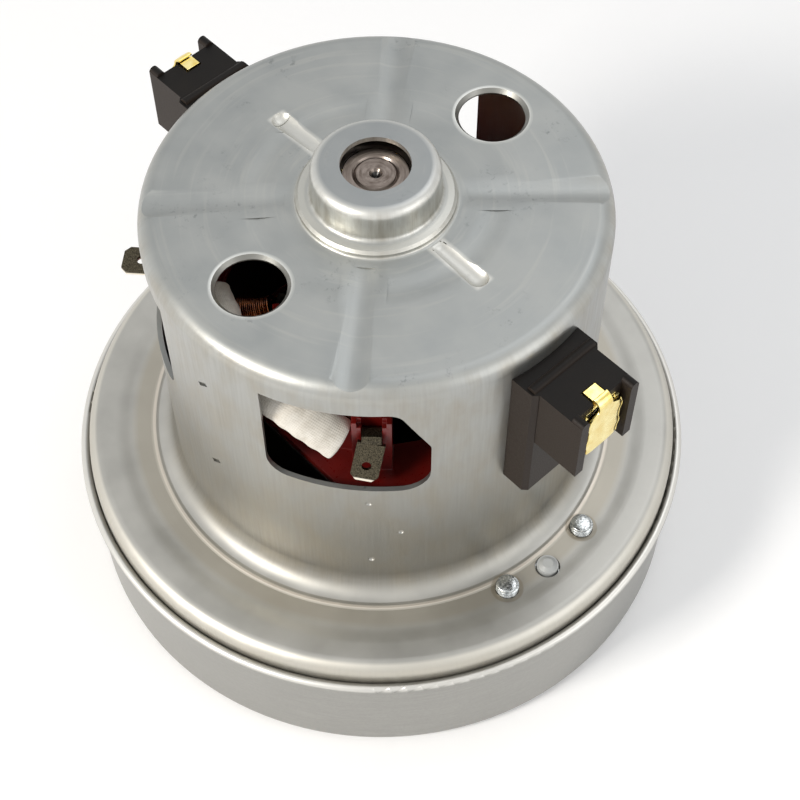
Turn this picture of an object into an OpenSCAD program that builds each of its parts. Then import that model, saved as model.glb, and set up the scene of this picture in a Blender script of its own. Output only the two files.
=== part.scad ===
// Vacuum cleaner motor unit: a brushed motor in a drawn steel can on top of a fan casing.
// Millimetres, +Z up, origin at the bottom centre of the fan casing.
// The brushes lie along X and the field poles along Y.

/* [Fan casing] */
// Outer radius of the casing wall
casing_r = 64.5; // [63:0.5:68]
// Height of the casing to the top of its rolled rim
casing_h = 27.5; // [26:0.5:32]
// Thickness of the casing sheet
casing_sheet = 1; // [0.8:0.1:1.2]
// Outer rounding between floor and wall
casing_round = 2.7; // [2:0.1:4]
// Tube radius of the rolled rim
rim_tube_r = 1; // [0.8:0.1:1.2]
// Radius of the air inlet
inlet_r = 17.5; // [15:0.5:19]
// Height of the turned-in inlet lip
inlet_lip_h = 4.3; // [3.5:0.1:5]

/* [Motor can] */
// Outer radius of the can wall
can_r = 44; // [43.5:0.5:46]
// Height of the can above its flange
can_rise = 67.2; // [66:0.2:74]
// Thickness of the can sheet
can_sheet = 1; // [0.9:0.05:1.1]
// Rounding between the top plate and the wall
can_round = 3.5; // [2.5:0.1:4.5]
// Height of the flange above the rolled rim
flange_rise = 4.3; // [3.8:0.1:5]
// Outer rounding of the flange shoulder
shoulder_round = 3; // [2.5:0.1:3.5]
// Radius of the flare from the wall into the flange
flare_round = 4.9; // [4:0.1:5.5]
// Width of the sunk ring round the flare
recess_w = 4.6; // [4:0.1:5.5]
// Depth of the sunk ring
recess_d = 0.5; // [0.3:0.1:0.7]
// Height of the bearing boss above the top plate
boss_h = 8.7; // [8:0.1:10]
// Radius of the opening over the shaft end
boss_hole_r = 6.5; // [5.5:0.1:7.5]
// Radius of the ledge at the foot of the boss
ledge_r = 14.8; // [14.4:0.1:16]
// Height of that ledge
ledge_h = 1.5; // [1.3:0.1:2]

/* [Top plate ribs and holes] */
// Width of a long rib at the surface
rib_w = 7; // [5:0.1:8]
// Depth of the pressed ribs
rib_d = 1.1; // [0.8:0.1:1.4]
// Angle of the long ribs from the brush axis
rib_angle = 49; // [40:1:52]
// Width of a short rib at the surface
short_rib_w = 4; // [3:0.1:5]
// Outer end of the short ribs
short_rib_end = 28.3; // [25:0.1:30]
// Radius of the two round holes
hole_r = 6.4; // [5:0.1:6.8]
// Distance of their centres from the axis
hole_at = 30; // [28:0.1:31]

/* [Wall windows] */
// Half of a window's angle
window_half_angle = 20.2; // [17:0.1:21]
// Height of a window
window_h = 24.7; // [22:0.1:26]
// Distance from the top plate to the windows
window_drop = 6.7; // [6:0.1:8]
// Angle of the window with the front terminal
window_a = -50.5; // [-52:0.1:-49]
// Angle of the window with the side terminal
window_b = -124.7; // [-127:0.1:-123]

/* [Ball bearings] */
// Bore of the bearings
bearing_bore = 8; // [7.5:0.1:8.5]
// Outer diameter of the bearings
bearing_od = 22; // [21.5:0.1:22.5]
// Width of the bearings
bearing_w = 7; // [6.5:0.1:7.5]
// Balls in each bearing
ball_count = 7; // [6:1:8]
// Ball diameter
ball_d = 3.9; // [3.7:0.1:4]

/* [Stator] */
// Distance from the top plate to the lamination stack
stack_drop = 35; // [34:0.5:37]
// Height of the stack above the flange
stack_rise = 10.2; // [10:0.1:11]
// Distance from the axis to the flat sides
stator_flat = 33.8; // [33:0.1:35]
// Outer radius of the winding space
slot_r = 32.6; // [32.4:0.1:32.9]
// Thickness of the insulating end plates
insulation = 1.5; // [1.2:0.1:1.6]

/* [Field coils] */
// Diameter of the drawn wire strand
wire_d = 1.6; // [1.4:0.05:1.65]
// Distance between strands
wire_pitch = 2.2; // [2.1:0.05:2.25]
// Turns side by side in a layer
layer_turns = 4; // [3:1:4]
// Layers of turns
layers = 3; // [2:1:3]

/* [Armature] */
// Radius of the armature core
armature_r = 18.5; // [17.5:0.1:18.6]
// Air gap to the pole shoes
air_gap = 0.5; // [0.4:0.05:0.8]
// Slots in the core
armature_slots = 11; // [9:1:12]
// Height of the upper winding head
head_h = 9.5; // [8:0.5:10.5]
// Radius of the shaft between the bearings
shaft_mid_r = 5; // [4.8:0.1:5.5]
// Radius of the commutator
commutator_r = 12; // [11.5:0.1:12.5]
// Length of the commutator
commutator_h = 15; // [14:0.5:15.5]
// Copper bars of the commutator
bar_count = 22; // [18:1:24]

/* [Brush gear] */
// Tangential thickness of a brush
brush_t = 6.3; // [6:0.1:6.5]
// Axial width of a brush
brush_w = 11; // [10.5:0.1:11.2]
// Length of a new brush
brush_len = 22; // [18:0.5:24]
// Distance from the top plate to the brush axis
brush_drop = 12.9; // [12.5:0.1:13.5]
// Outer end of the brush housing
housing_end = 58.8; // [58:0.1:61]
// Width of the projecting block
housing_w = 14.4; // [13.5:0.1:15]
// Width of the mounting pad
pad_w = 16.5; // [16:0.1:18]
// Thickness of the mounting pad
pad_t = 4.9; // [4:0.1:5.5]
// Height of the mounting pad
pad_h = 31; // [28:0.5:32]

/* [Terminals and sleeve] */
// Width of a push-on tab
tab_w = 6.3; // [6:0.1:6.4]
// Thickness of a push-on tab
tab_t = 0.8; // [0.7:0.05:0.9]
// Angle of the front terminal
front_tab_angle = -44.6; // [-47:0.1:-43]
// Width of the front tab
front_tab_w = 5.2; // [4.8:0.1:5.6]
// Free length of the front tab
front_tab_len = 8.2; // [7.6:0.1:8.6]
// Angle of the side terminal
side_tab_angle = -138; // [-139:0.5:-136]
// Reach of the side terminal from the axis
side_tab_reach = 50.2; // [48:0.1:52]
// Distance from the top plate to the front tower
tower_drop = 18.3; // [17:0.1:20]
// Distance from the top plate to the side terminal
side_tab_drop = 23.6; // [23:0.1:25]
// Height of the walls that hold the coil heads
frame_wall_h = 7; // [6:0.5:8]
// Outer diameter of the woven sleeve
sleeve_d = 6.2; // [5.6:0.1:6.4]
// Bore of the woven sleeve
sleeve_bore = 4.8; // [3.6:0.1:5]
// Height of the sleeve where it is pressed flat
sleeve_end_h = 8.2; // [7:0.1:8.6]
// Thickness of the sleeve where it is pressed flat
sleeve_end_t = 4.2; // [3.6:0.1:5]

/* [Impeller and diffuser] */
// Gap between the impeller rim and the casing wall
impeller_inset = 10.5; // [10:0.1:12]
// Blades of the impeller
blade_count = 9; // [7:1:11]
// Thickness of the impeller sheet
impeller_sheet = 1; // [0.8:0.1:1.2]
// Outlet width of the impeller
outlet_w = 6; // [5:0.1:6.5]
// Sweep of a blade
blade_sweep = 62; // [45:1:75]
// Guide vanes round the impeller
outer_vanes = 15; // [12:1:18]
// Return vanes above the impeller
return_vanes = 12; // [10:1:14]
// Angle of the bridge screws to each side of the brush axis
screw_spread = 11.8; // [11:0.1:12.5]

/* [Hidden] */
$fn = 72;
fit = 0.03;
eps = 0.2;

zinc = [0.70, 0.72, 0.74];
bright_steel = [0.78, 0.79, 0.80];
iron = [0.42, 0.42, 0.43];
alloy = [0.80, 0.81, 0.83];
copper = [0.62, 0.30, 0.16];
brass = [0.86, 0.68, 0.28];
black_plastic = [0.11, 0.10, 0.10];
red_plastic = [0.46, 0.08, 0.06];
grey_plastic = [0.72, 0.73, 0.74];
cream_fibre = [0.90, 0.87, 0.80];
graphite = [0.18, 0.18, 0.19];

// Heights, from the floor up
flange_z = casing_h + flange_rise;
recess_z = flange_z - recess_d;
can_top = flange_z + can_rise;
boss_top = can_top + boss_h;
bridge_t = 1.5;
bridge_top = recess_z - can_sheet;
bridge_z = bridge_top - bridge_t;
cup_floor = 1.5;
cup_rim_over = 1.3;
lower_bearing_z = bridge_top - cup_rim_over - bearing_w;
back_plate_z = lower_bearing_z - 7;
disc_t = 1.5;
disc_z = back_plate_z + impeller_sheet + 1;
wave_gap = 1.5;
upper_bearing_z = boss_top - can_sheet - wave_gap - bearing_w;
stack_z = flange_z + stack_rise;
stack_top = can_top - stack_drop;
stack_h = stack_top - stack_z;
stack_mid = stack_z + stack_h / 2;
frame_top = stack_top + insulation;
brush_z = can_top - brush_drop;
commutator_z = brush_z - commutator_h / 2;
window_z = can_top - window_drop - window_h;

// Radii, from the axis out
shaft_r = bearing_bore / 2;
cup_r = bearing_od / 2;
boss_r = cup_r + can_sheet;
inner_wall_r = can_r - can_sheet;
stator_r = inner_wall_r - 0.1;
flare_end = can_r + flare_round;
recess_end = flare_end + recess_w;
rise_w = 4;
rise_steps = 6;
skirt_r = casing_r - casing_sheet - 0.12;
skirt_z = flange_z - 14;
flange_w = skirt_r - can_r;
screw_at = can_r + 0.392 * flange_w;
peg_at = can_r + 0.4334 * flange_w;
peg_angle = -2.7;
screw_turn = -1.6;
screw_r = 2.4;
peg_r = 2.2;
impeller_r = casing_r - impeller_inset;
eye_r = inlet_r + casing_sheet + 0.8;
disc_r = skirt_r - can_sheet - 2.4;

// Points on an arc round [x, y], from angle a to angle b
function arc(x, y, r, a, b, n = 8) =
    [for (i = [0:n]) let (t = a + (b - a) * i / n) [x + r * cos(t), y + r * sin(t)]];

// A point at a radius and an angle
function polar(r, a) = [r * cos(a), r * sin(a)];

// A curved vane as an outline: radius r0 to r1, turning by sweep, with a thickness across
function vane(r0, r1, sweep, thick, n = 10) = concat(
    [for (i = [0:n]) let (r = r0 + (r1 - r0) * i / n)
        polar(r, sweep * i / n + thick / r * 28.65)],
    [for (i = [n:-1:0]) let (r = r0 + (r1 - r0) * i / n)
        polar(r, sweep * i / n - thick / r * 28.65)]);

function unit(v) = v / norm(v);

// Ring of points round p, square to direction d, starting towards side s
function ring(p, d, s, r, sides) =
    let (t = unit(d), a = unit(s - (s * t) * t), b = cross(t, a))
    [for (i = [0:sides - 1]) p + r * (cos(360 * i / sides) * a + sin(360 * i / sides) * b)];

// Direction of a path at point i
function heading(path, i) = path[min(i + 1, len(path) - 1)] - path[max(i - 1, 0)];

// Least distance between points of a path that lie more than skip points apart
function least_gap(path, skip) = min([
    for (i = [0:len(path) - 1 - skip], j = [i + skip:1:len(path) - 1]) norm(path[i] - path[j])]);

// A round strand along a path; sides holds the direction in which each ring starts
module strand(path, sides, r, count) {
    n = len(path);
    points = [for (i = [0:n - 1]) each ring(path[i], heading(path, i), sides[i], r, count)];
    skin = [for (i = [0:n - 2], k = [0:count - 1])
        let (a = i * count + k, b = i * count + (k + 1) % count)
        each [[a, a + count, b], [b, a + count, b + count]]];
    first_cap = [for (k = [1:count - 2]) [0, k, k + 1]];
    last = (n - 1) * count;
    last_cap = [for (k = [1:count - 2]) [last, last + k + 1, last + k]];
    polyhedron(points, concat(skin, first_cap, last_cap));
}

// Oval ring round p, square to direction d, half height w towards side s, half thickness t
function oval(p, d, s, w, t, sides) =
    let (n = unit(d), a = unit(s - (s * n) * n), b = cross(n, a))
    [for (i = [0:sides - 1]) p + w * cos(360 * i / sides) * a + t * sin(360 * i / sides) * b];

// Direction that leans from the path's point p inward over the shaft and up
function lean_in(p) = 0.8 * unit([-p[0], -p[1], 0]) + [0, 0, 0.6];

// A hollow sleeve along a path round the shaft, with a half height and half thickness for each point
module hollow_strand(path, sizes, wall, count) {
    n = len(path);
    outer = [for (i = [0:n - 1])
        each oval(path[i], heading(path, i), lean_in(path[i]), sizes[i][0], sizes[i][1], count)];
    inner = [for (i = [0:n - 1]) let (w = sizes[i][0] - wall, t = sizes[i][1] - wall)
        each oval(path[i], heading(path, i), lean_in(path[i]), w, t, count)];
    m = n * count;
    skin = [for (i = [0:n - 2], k = [0:count - 1])
        let (a = i * count + k, b = i * count + (k + 1) % count)
        each [[a, a + count, b], [b, a + count, b + count]]];
    bore = [for (f = skin) [f[0] + m, f[2] + m, f[1] + m]];
    end = (n - 1) * count;
    caps = [for (k = [0:count - 1]) let (c = (k + 1) % count)
        each [[k, c, k + m], [c, c + m, k + m],
            [end + k, end + k + m, end + c], [end + c, end + k + m, end + c + m]]];
    polyhedron(concat(outer, inner), concat(skin, bore, caps));
}

// Fan casing: floor, turned-in inlet lip, wall and rolled rim
module fan_casing() {
    lip_round = 2;
    turn_x = inlet_r + lip_round;
    corner_x = casing_r - casing_round;
    rim_z = casing_h - rim_tube_r;
    color(zinc) {
        rotate_extrude() polygon(concat(
            [[inlet_r, inlet_lip_h]],
            arc(turn_x, lip_round, lip_round, 180, 270, 5),
            arc(corner_x, casing_round, casing_round, 270, 360, 6),
            [[casing_r, rim_z], [casing_r - casing_sheet, rim_z]],
            arc(corner_x, casing_round, casing_round - casing_sheet, 360, 270, 6),
            arc(turn_x, lip_round, lip_round - casing_sheet, 270, 180, 5),
            [[inlet_r + casing_sheet, inlet_lip_h]]));
        rotate_extrude() translate([casing_r, rim_z]) circle(r = rim_tube_r, $fn = 24);
    }
}

// Half section of the can: outside from the boss to the skirt, then back along the inside
function can_section() =
    let (
        s = can_sheet,
        top_round = 2,
        foot = 1.2,
        ledge_z = can_top + ledge_h,
        ledge_foot = 0.6,
        ring_at = 3.8,
        ring_w = 7,
        ring_dip = 0.2,
        ring_steps = 6,
        shoulder_x = skirt_r - shoulder_round,
        shoulder_z = flange_z - shoulder_round,
        wall_z = recess_z + flare_round,
        corner_x = can_r - can_round,
        corner_z = can_top - can_round)
    concat(
        [[boss_hole_r, boss_top]],
        arc(boss_r - top_round, boss_top - top_round, top_round, 90, 0, 6),
        arc(boss_r + foot, ledge_z + foot, foot, 180, 270, 4),
        [[ledge_r - 0.5, ledge_z], [ledge_r, ledge_z - 0.5]],
        arc(ledge_r + ledge_foot, can_top + ledge_foot, ledge_foot, 180, 270, 3),
        [for (t = [0:ring_steps]) [ledge_r + ring_at + ring_w * t / ring_steps,
            can_top - ring_dip * (1 - cos(360 * t / ring_steps)) / 2]],
        arc(corner_x, corner_z, can_round, 90, 0, 8),
        arc(flare_end, wall_z, flare_round, 180, 270, 6),
        rise(0),
        arc(shoulder_x, shoulder_z, shoulder_round, 90, 0, 6),
        [[skirt_r, skirt_z], [skirt_r - s, skirt_z]],
        arc(shoulder_x, shoulder_z, shoulder_round - s, 0, 90, 6),
        [for (p = [rise_steps:-1:0]) rise(s)[p]],
        arc(flare_end, wall_z, flare_round + s, 270, 180, 6),
        arc(corner_x, corner_z, can_round - s, 0, 90, 8),
        [[ledge_r + ledge_foot, can_top - s]],
        [[ledge_r - s, can_top - s + 0.6], [ledge_r - s, ledge_z - s]],
        arc(boss_r + foot, ledge_z + foot, foot + s, 270, 180, 4),
        arc(boss_r - top_round, boss_top - top_round, top_round - s, 0, 90, 4),
        [[boss_hole_r, boss_top - s]]);

// Soft rise from the recess to the flange, drop below the outer face
function rise(drop) = [for (t = [0:rise_steps]) [recess_end + rise_w * t / rise_steps,
    recess_z - drop + (flange_z - recess_z) * (1 - cos(180 * t / rise_steps)) / 2]];

// Radius of a round trough that is w wide and d deep at the surface
function trough_r(w, d) = (w * w / 4 + d * d) / 2 / d;

// A round trough along X from r0 to r1, d0 and d1 deep at its ends, sheet added all round
module trough(r0, r1, w, d0, d1, sheet) {
    r = trough_r(w, d1);
    run = r1 - r0;
    fall = d1 - d0;
    translate([r0, 0, can_top + r - d0]) rotate([0, 90 + atan(fall / run), 0])
        cylinder(h = sqrt(run * run + fall * fall), r = r + sheet);
}

// The pressed ribs: long ones run out over the rim, short ones end round over the brushes
module ribs(sheet) {
    long_in = ledge_r + 2.2;
    short_in = ledge_r + 0.9;
    shallow = 0.3;
    short_r = trough_r(short_rib_w, rib_d);
    for (a = [rib_angle, -rib_angle, 180 - rib_angle, rib_angle - 180]) rotate([0, 0, a])
        trough(long_in, can_r + 2, rib_w, shallow, rib_d, sheet);
    for (a = [0, 180]) rotate([0, 0, a]) {
        end_x = short_rib_end - short_rib_w / 2;
        trough(short_in, end_x, short_rib_w, shallow, rib_d, sheet);
        translate([end_x, 0, can_top + short_r - rib_d]) sphere(r = short_r + sheet, $fn = 48);
    }
}

// Filled top of the can, which holds the backs of the ribs inside its outline
module top_outline() {
    rotate_extrude() polygon(concat(
        [[0, can_top - can_round], [can_r, can_top - can_round]],
        arc(can_r - can_round, can_top - can_round, can_round, 0, 90, 8),
        [[0, can_top]]));
}

// Outline of a window: square upper corner on one side, wide chamfer on the other
function window_outline() =
    let (w = can_r * sin(window_half_angle), h = window_h)
    concat(
        arc(4 - w, 4.5, 4, 180, 270, 5),
        arc(w - 5, 5, 5, 270, 360, 6),
        arc(w - 2.5, h * 0.52, 2.5, 0, 24, 2),
        arc(w - 7.6, h - 3.2, 3.2, 30, 90, 4),
        [[-w, h]]);

// Cuts of the four windows, the second pair mirrored
module window_cuts() {
    for (turn = [0, 180]) {
        rotate([0, 0, window_a + turn]) translate([can_r - 6, 0, window_z])
            rotate([90, 0, 90]) linear_extrude(12) polygon(window_outline());
        rotate([0, 0, window_b + turn]) mirror([0, 1, 0]) translate([can_r - 6, 0, window_z])
            rotate([90, 0, 90]) linear_extrude(12) polygon(window_outline());
    }
}

// Motor can: drawn steel with boss, pressed ribs, flange and skirt
module motor_can() {
    rim = 0.7;
    inner_w = housing_w - 1.6;
    color(zinc) difference() {
        union() {
            rotate_extrude() polygon(can_section());
            intersection() {
                top_outline();
                ribs(can_sheet);
            }
        }
        ribs(0);
        for (s = [-1, 1]) translate([0, s * hole_at, can_top]) {
            translate([0, 0, -can_sheet * 2]) cylinder(h = can_sheet * 3, r = hole_r);
            translate([0, 0, -rim]) cylinder(h = rim * 2, r1 = hole_r, r2 = hole_r + rim * 2);
        }
        window_cuts();
        for (turn = [0, 180]) rotate([0, 0, turn]) {
            translate([can_r - 6, -inner_w / 2 - fit, inner_block_z - fit])
                cube([12, inner_w + 2 * fit, inner_block_h + 2 * fit]);
            translate([can_r - 6, -lug_w / 2 - fit, lug_z - fit])
                cube([12, lug_w + 2 * fit, lug_h + 2 * fit]);
            for (s = [-1, 1]) rotate([0, 0, screw_turn + s * screw_spread])
                translate([screw_at, 0, recess_z - 3]) cylinder(h = 6, r = screw_r + fit, $fn = 32);
            rotate([0, 0, peg_angle]) translate([peg_at, 0, recess_z - 3])
                cylinder(h = 6, r = peg_r + 0.35, $fn = 32);
        }
        staking_marks();
    }
}

// Small dents that hold the stator and the bearing bridge
module staking_marks() {
    for (turn = [0, 180]) {
        for (drop = [15.5, 41.2]) rotate([0, 0, turn - 88.5]) translate([can_r, 0, can_top - drop])
            rotate([35, 0, 0]) cube([1, 2.6, 0.9], center = true);
        for (m = [[-45.3, 35.8], [-37.6, 46.6], [-45.2, 61.9 - flare_round]])
            rotate([0, 0, turn + m[0]]) translate([can_r + 0.2, 0, can_top - m[1]])
                sphere(r = 0.7, $fn = 24);
    }
}

// Diffuser: plate, guide vanes below, return vanes, screw bosses and pegs above
module diffuser() {
    floor_z = casing_sheet;
    head_d = 2.8;
    color(grey_plastic) difference() {
        union() {
            translate([0, 0, disc_z]) linear_extrude(disc_t) circle(disc_r);
            translate([0, 0, floor_z]) linear_extrude(disc_z - floor_z + eps)
                for (i = [0:outer_vanes - 1]) rotate(i * 360 / outer_vanes)
                    polygon(vane(impeller_r + 1.5, disc_r - 0.4, 7, 2.4, 5));
            translate([0, 0, disc_z + disc_t - eps]) linear_extrude(bridge_z - disc_z - disc_t + eps)
                for (i = [0:return_vanes - 1]) rotate(i * 360 / return_vanes + 15)
                    polygon(vane(32, disc_r - 2, -38, 1.8));
            for (turn = [0, 180]) rotate([0, 0, turn]) {
                for (s = [-1, 1]) rotate([0, 0, screw_turn + s * screw_spread])
                    translate([screw_at, 0, disc_z]) cylinder(h = bridge_z - disc_z, r = 5);
                rotate([0, 0, peg_angle]) translate([peg_at, 0, disc_z + eps]) {
                    cylinder(h = flange_z - disc_z, r = peg_r, $fn = 32);
                    translate([0, 0, flange_z - disc_z - eps])
                        cylinder(h = 0.8, r1 = peg_r, r2 = peg_r / 2, $fn = 32);
                }
            }
        }
        translate([0, 0, disc_z - 1]) cylinder(h = disc_t + 2, r = cup_r + 3);
        for (turn = [0, 180], s = [-1, 1]) rotate([0, 0, turn + screw_turn + s * screw_spread])
            translate([screw_at, 0, disc_z - 1]) {
                cylinder(h = bridge_z - disc_z + 2, r = screw_r + 0.2, $fn = 32);
                cylinder(h = head_d + 1, r = 4, $fn = 32);
            }
    }
}

// Bearing bridge: pressed strap under the flange with a cup for the lower bearing
module bearing_bridge() {
    strap_w = 26;
    end_w = 36;
    reach = screw_at + 5.4;
    wall = 1.5;
    stiffener_h = 2.6;
    color(bright_steel) difference() {
        union() {
            translate([0, 0, bridge_z]) linear_extrude(bridge_t) intersection() {
                circle(reach);
                union() {
                    square([2 * reach, strap_w], center = true);
                    for (s = [-1, 1]) translate([s * (reach - 6), 0]) square([16, end_w], center = true);
                }
            }
            for (s = [-1, 1], t = [-1, 1])
                translate([s * 27 - 12, t * (strap_w / 2 - 0.6) - 0.6, bridge_z + eps])
                    cube([24, 1.2, bridge_t + stiffener_h - eps]);
            translate([0, 0, lower_bearing_z - cup_floor])
                cylinder(h = bridge_top - lower_bearing_z + cup_floor, r = cup_r + wall);
        }
        translate([0, 0, lower_bearing_z]) cylinder(h = 20, r = cup_r + fit);
        translate([0, 0, lower_bearing_z - 5]) cylinder(h = 10, r = shaft_r + 4);
        for (turn = [0, 180]) rotate([0, 0, turn]) {
            for (s = [-1, 1]) rotate([0, 0, screw_turn + s * screw_spread])
                translate([screw_at, 0, bridge_z - 1]) cylinder(h = 4, r = screw_r + 0.1, $fn = 32);
            rotate([0, 0, peg_angle]) translate([peg_at, 0, bridge_z - 1])
                cylinder(h = 4, r = peg_r + 0.1, $fn = 32);
        }
    }
}

// Four screws up through diffuser, bridge and flange; their ends stand above the flange
module bridge_screws() {
    head_r = 3.7;
    head_h = 2.4;
    seat_z = disc_z + 2.8;
    tip_z = flange_z + 1.6;
    color(bright_steel) for (turn = [0, 180], s = [-1, 1])
        rotate([0, 0, turn + screw_turn + s * screw_spread]) translate([screw_at, 0, seat_z]) difference() {
            union() {
                translate([0, 0, -head_h]) cylinder(h = head_h, r1 = head_r - 0.5, r2 = head_r, $fn = 32);
                translate([0, 0, -eps]) cylinder(h = tip_z - seat_z - 0.5 + eps, r = screw_r, $fn = 32);
                translate([0, 0, tip_z - seat_z - 0.5])
                    cylinder(h = 0.5, r1 = screw_r, r2 = screw_r - 0.5, $fn = 32);
            }
            for (a = [0, 90]) rotate([0, 0, a]) translate([0, 0, -head_h]) cube([4, 1, 2.4], center = true);
        }
}

// Sector of a circle as an outline
function sector(r, a, b, n = 10) = concat([[0, 0]], arc(0, 0, r, a, b, n));

// Stator laminations: two poles on Y inside a yoke with two flat sides
module stator_core() {
    bore = armature_r + air_gap;
    neck_half = 35;
    shoe_half = 58;
    color(iron) translate([0, 0, stack_z]) linear_extrude(stack_h) difference() {
        intersection() {
            circle(stator_r);
            square([2 * can_r, 2 * stator_flat], center = true);
        }
        difference() {
            circle(slot_r);
            for (a = [90, -90]) {
                polygon(sector(slot_r * 1.3, a - neck_half, a + neck_half));
                intersection() {
                    circle(bore + 1.9);
                    polygon(sector(slot_r, a - shoe_half, a + shoe_half));
                }
            }
        }
        circle(bore);
    }
}

coil_in_r = armature_r + air_gap + 3.3;
coil_half_w = coil_in_r * 38 * PI / 180;
coil_half_h = stack_h / 2 + insulation + 0.3 + wire_d / 2;
coil_corner = 3;
turn_rings = 24;

// Across and height of ring i of a turn that lies off pitches further out than the first
function turn_point(i, off) =
    let (
        x = coil_half_w - coil_corner,
        z = coil_half_h - coil_corner,
        r = coil_corner + off * wire_pitch,
        q = floor(i / 6),
        k = i % 6)
    q == 0 ? (k < 2 ? [x * (0.2 + 0.4 * k), -z - r] :
        [x + r * sin(30 * (k - 2)), -z - r * cos(30 * (k - 2))]) :
    q == 1 ? (k < 4 ? [x + r * cos(30 * k), z + r * sin(30 * k)] : [x * (0.6 - 0.4 * (k - 4)), z + r]) :
    q == 2 ? (k < 2 ? [-x * (0.2 + 0.4 * k), z + r] :
        [-x - r * sin(30 * (k - 2)), z + r * cos(30 * (k - 2))]) :
    (k < 4 ? [-x - r * cos(30 * k), -z - r * sin(30 * k)] : [-x * (0.6 - 0.4 * (k - 4)), -z - r]);

// Pitches climbed after u turns, each climb taken over half a turn
function climbed(u) = layers < 2 ? 0 :
    [for (b = [1:layers - 1]) min(1, max(0, (u - b * layer_turns + 0.25) * 2))] *
    [for (b = [1:layers - 1]) 1];

// Place of ring k of the whole coil: angle from the pole's middle, radius and height
function coil_polar(k) =
    let (
        u = k / turn_rings,
        layer = min(layers - 1, floor(u / layer_turns)),
        v = u - layer * layer_turns,
        r = coil_in_r + wire_pitch * (layer % 2 == 0 ? v : layer_turns - v),
        p = turn_point(k % turn_rings, climbed(u)))
    [p[0] / coil_in_r * 180 / PI, r, stack_mid + p[1]];

coil_rings = [for (k = [0:layers * layer_turns * turn_rings - 1]) coil_polar(k)];
coil_path = [for (c = coil_rings) [c[1] * sin(c[0]), -c[1] * cos(c[0]), c[2]]];
coil_sides = [for (c = coil_rings) [sin(c[0]), -cos(c[0]), 0]];

// One field coil, wound round its pole in layers as a single strand
module field_coil(turn) {
    color(copper) rotate([0, 0, turn]) strand(coil_path, coil_sides, wire_d / 2, 6);
}

module field_coil_front() {
    echo(least_coil_gap = least_gap(coil_path, 12) - wire_d);
    field_coil(0);
}

module field_coil_rear() {
    field_coil(180);
}

coil_out_r = coil_in_r + wire_pitch * layer_turns + wire_d / 2;
guide_in_r = coil_in_r - wire_d / 2 - 0.4;

// Flat of an insulating end frame: the stator outline with the winding space open
module frame_outline() {
    difference() {
        intersection() {
            circle(stator_r - 0.6);
            square([2 * can_r, 2 * stator_flat - 0.6], center = true);
        }
        difference() {
            circle(slot_r - 0.3);
            for (a = [90, -90]) {
                polygon(sector(slot_r * 1.3, a - 32, a + 32));
            }
        }
        circle(guide_in_r - 1.4);
    }
}

// Walls of an end frame that hold the coil heads, h high
module frame_walls(h) {
    intersection() {
        linear_extrude(h) difference() {
            for (a = [90, -90]) {
                polygon(sector(stator_r, a - 46, a + 46));
            }
            circle(coil_out_r + 0.4);
        }
        linear_extrude(h) intersection() {
            circle(coil_out_r + 1.9);
            square([2 * can_r, 2 * stator_flat - 0.6], center = true);
        }
    }
    linear_extrude(h) difference() {
        intersection() {
            circle(guide_in_r);
            for (a = [90, -90]) {
                polygon(sector(stator_r, a - 32, a + 32));
            }
        }
        circle(guide_in_r - 1.4);
    }
}

tower_back = coil_out_r + 0.6;
tower_face = tower_back + 5.3;
tower_top = can_top - tower_drop;
tower_w = 7.4;
side_tower_w = 9;
neck_w = 3.6;
side_tab_z = can_top - side_tab_drop;

// Upper end frame in red plastic with the two terminal towers
module upper_coil_frame() {
    color(red_plastic) {
        translate([0, 0, stack_top]) linear_extrude(insulation) frame_outline();
        translate([0, 0, frame_top - eps]) frame_walls(frame_wall_h);
        rotate([0, 0, front_tab_angle]) difference() {
            translate([tower_back, -tower_w / 2, frame_top - eps])
                cube([tower_face - tower_back, tower_w, tower_top - frame_top + eps]);
            translate([tower_face - 2.4, -neck_w / 2 - 0.1, tower_top - 12.5]) cube([3, neck_w + 0.2, 13]);
            translate([tower_face - 1.2, -tower_w / 2 + 1, tower_top - 1.4]) cube([2, tower_w - 2, 2]);
        }
        rotate([0, 0, side_tab_angle]) difference() {
            translate([tower_back, -side_tower_w / 2, frame_top - eps])
                cube([tower_face - tower_back, side_tower_w, side_tab_z + 2.6 - frame_top + eps]);
            translate([tower_back + 0.9, -tab_w / 2 - 0.05, side_tab_z - 0.03])
                cube([8, tab_w + 0.1, tab_t + 0.06]);
        }
    }
}

// Lower end frame
module lower_coil_frame() {
    color(red_plastic) {
        translate([0, 0, stack_z - insulation]) linear_extrude(insulation) frame_outline();
        translate([0, 0, stack_z - insulation + eps]) mirror([0, 0, 1]) frame_walls(frame_wall_h);
    }
}

// A push-on tab lying along X from 0 to len, chamfered at its end
module tab(len, width, hole_at_x) {
    c = 1.1;
    linear_extrude(tab_t) difference() {
        polygon([[0, -width / 2], [len - c, -width / 2], [len, c - width / 2],
            [len, width / 2 - c], [len - c, width / 2], [0, width / 2]]);
        translate([hole_at_x, 0]) circle(0.9, $fn = 24);
    }
}

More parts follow.
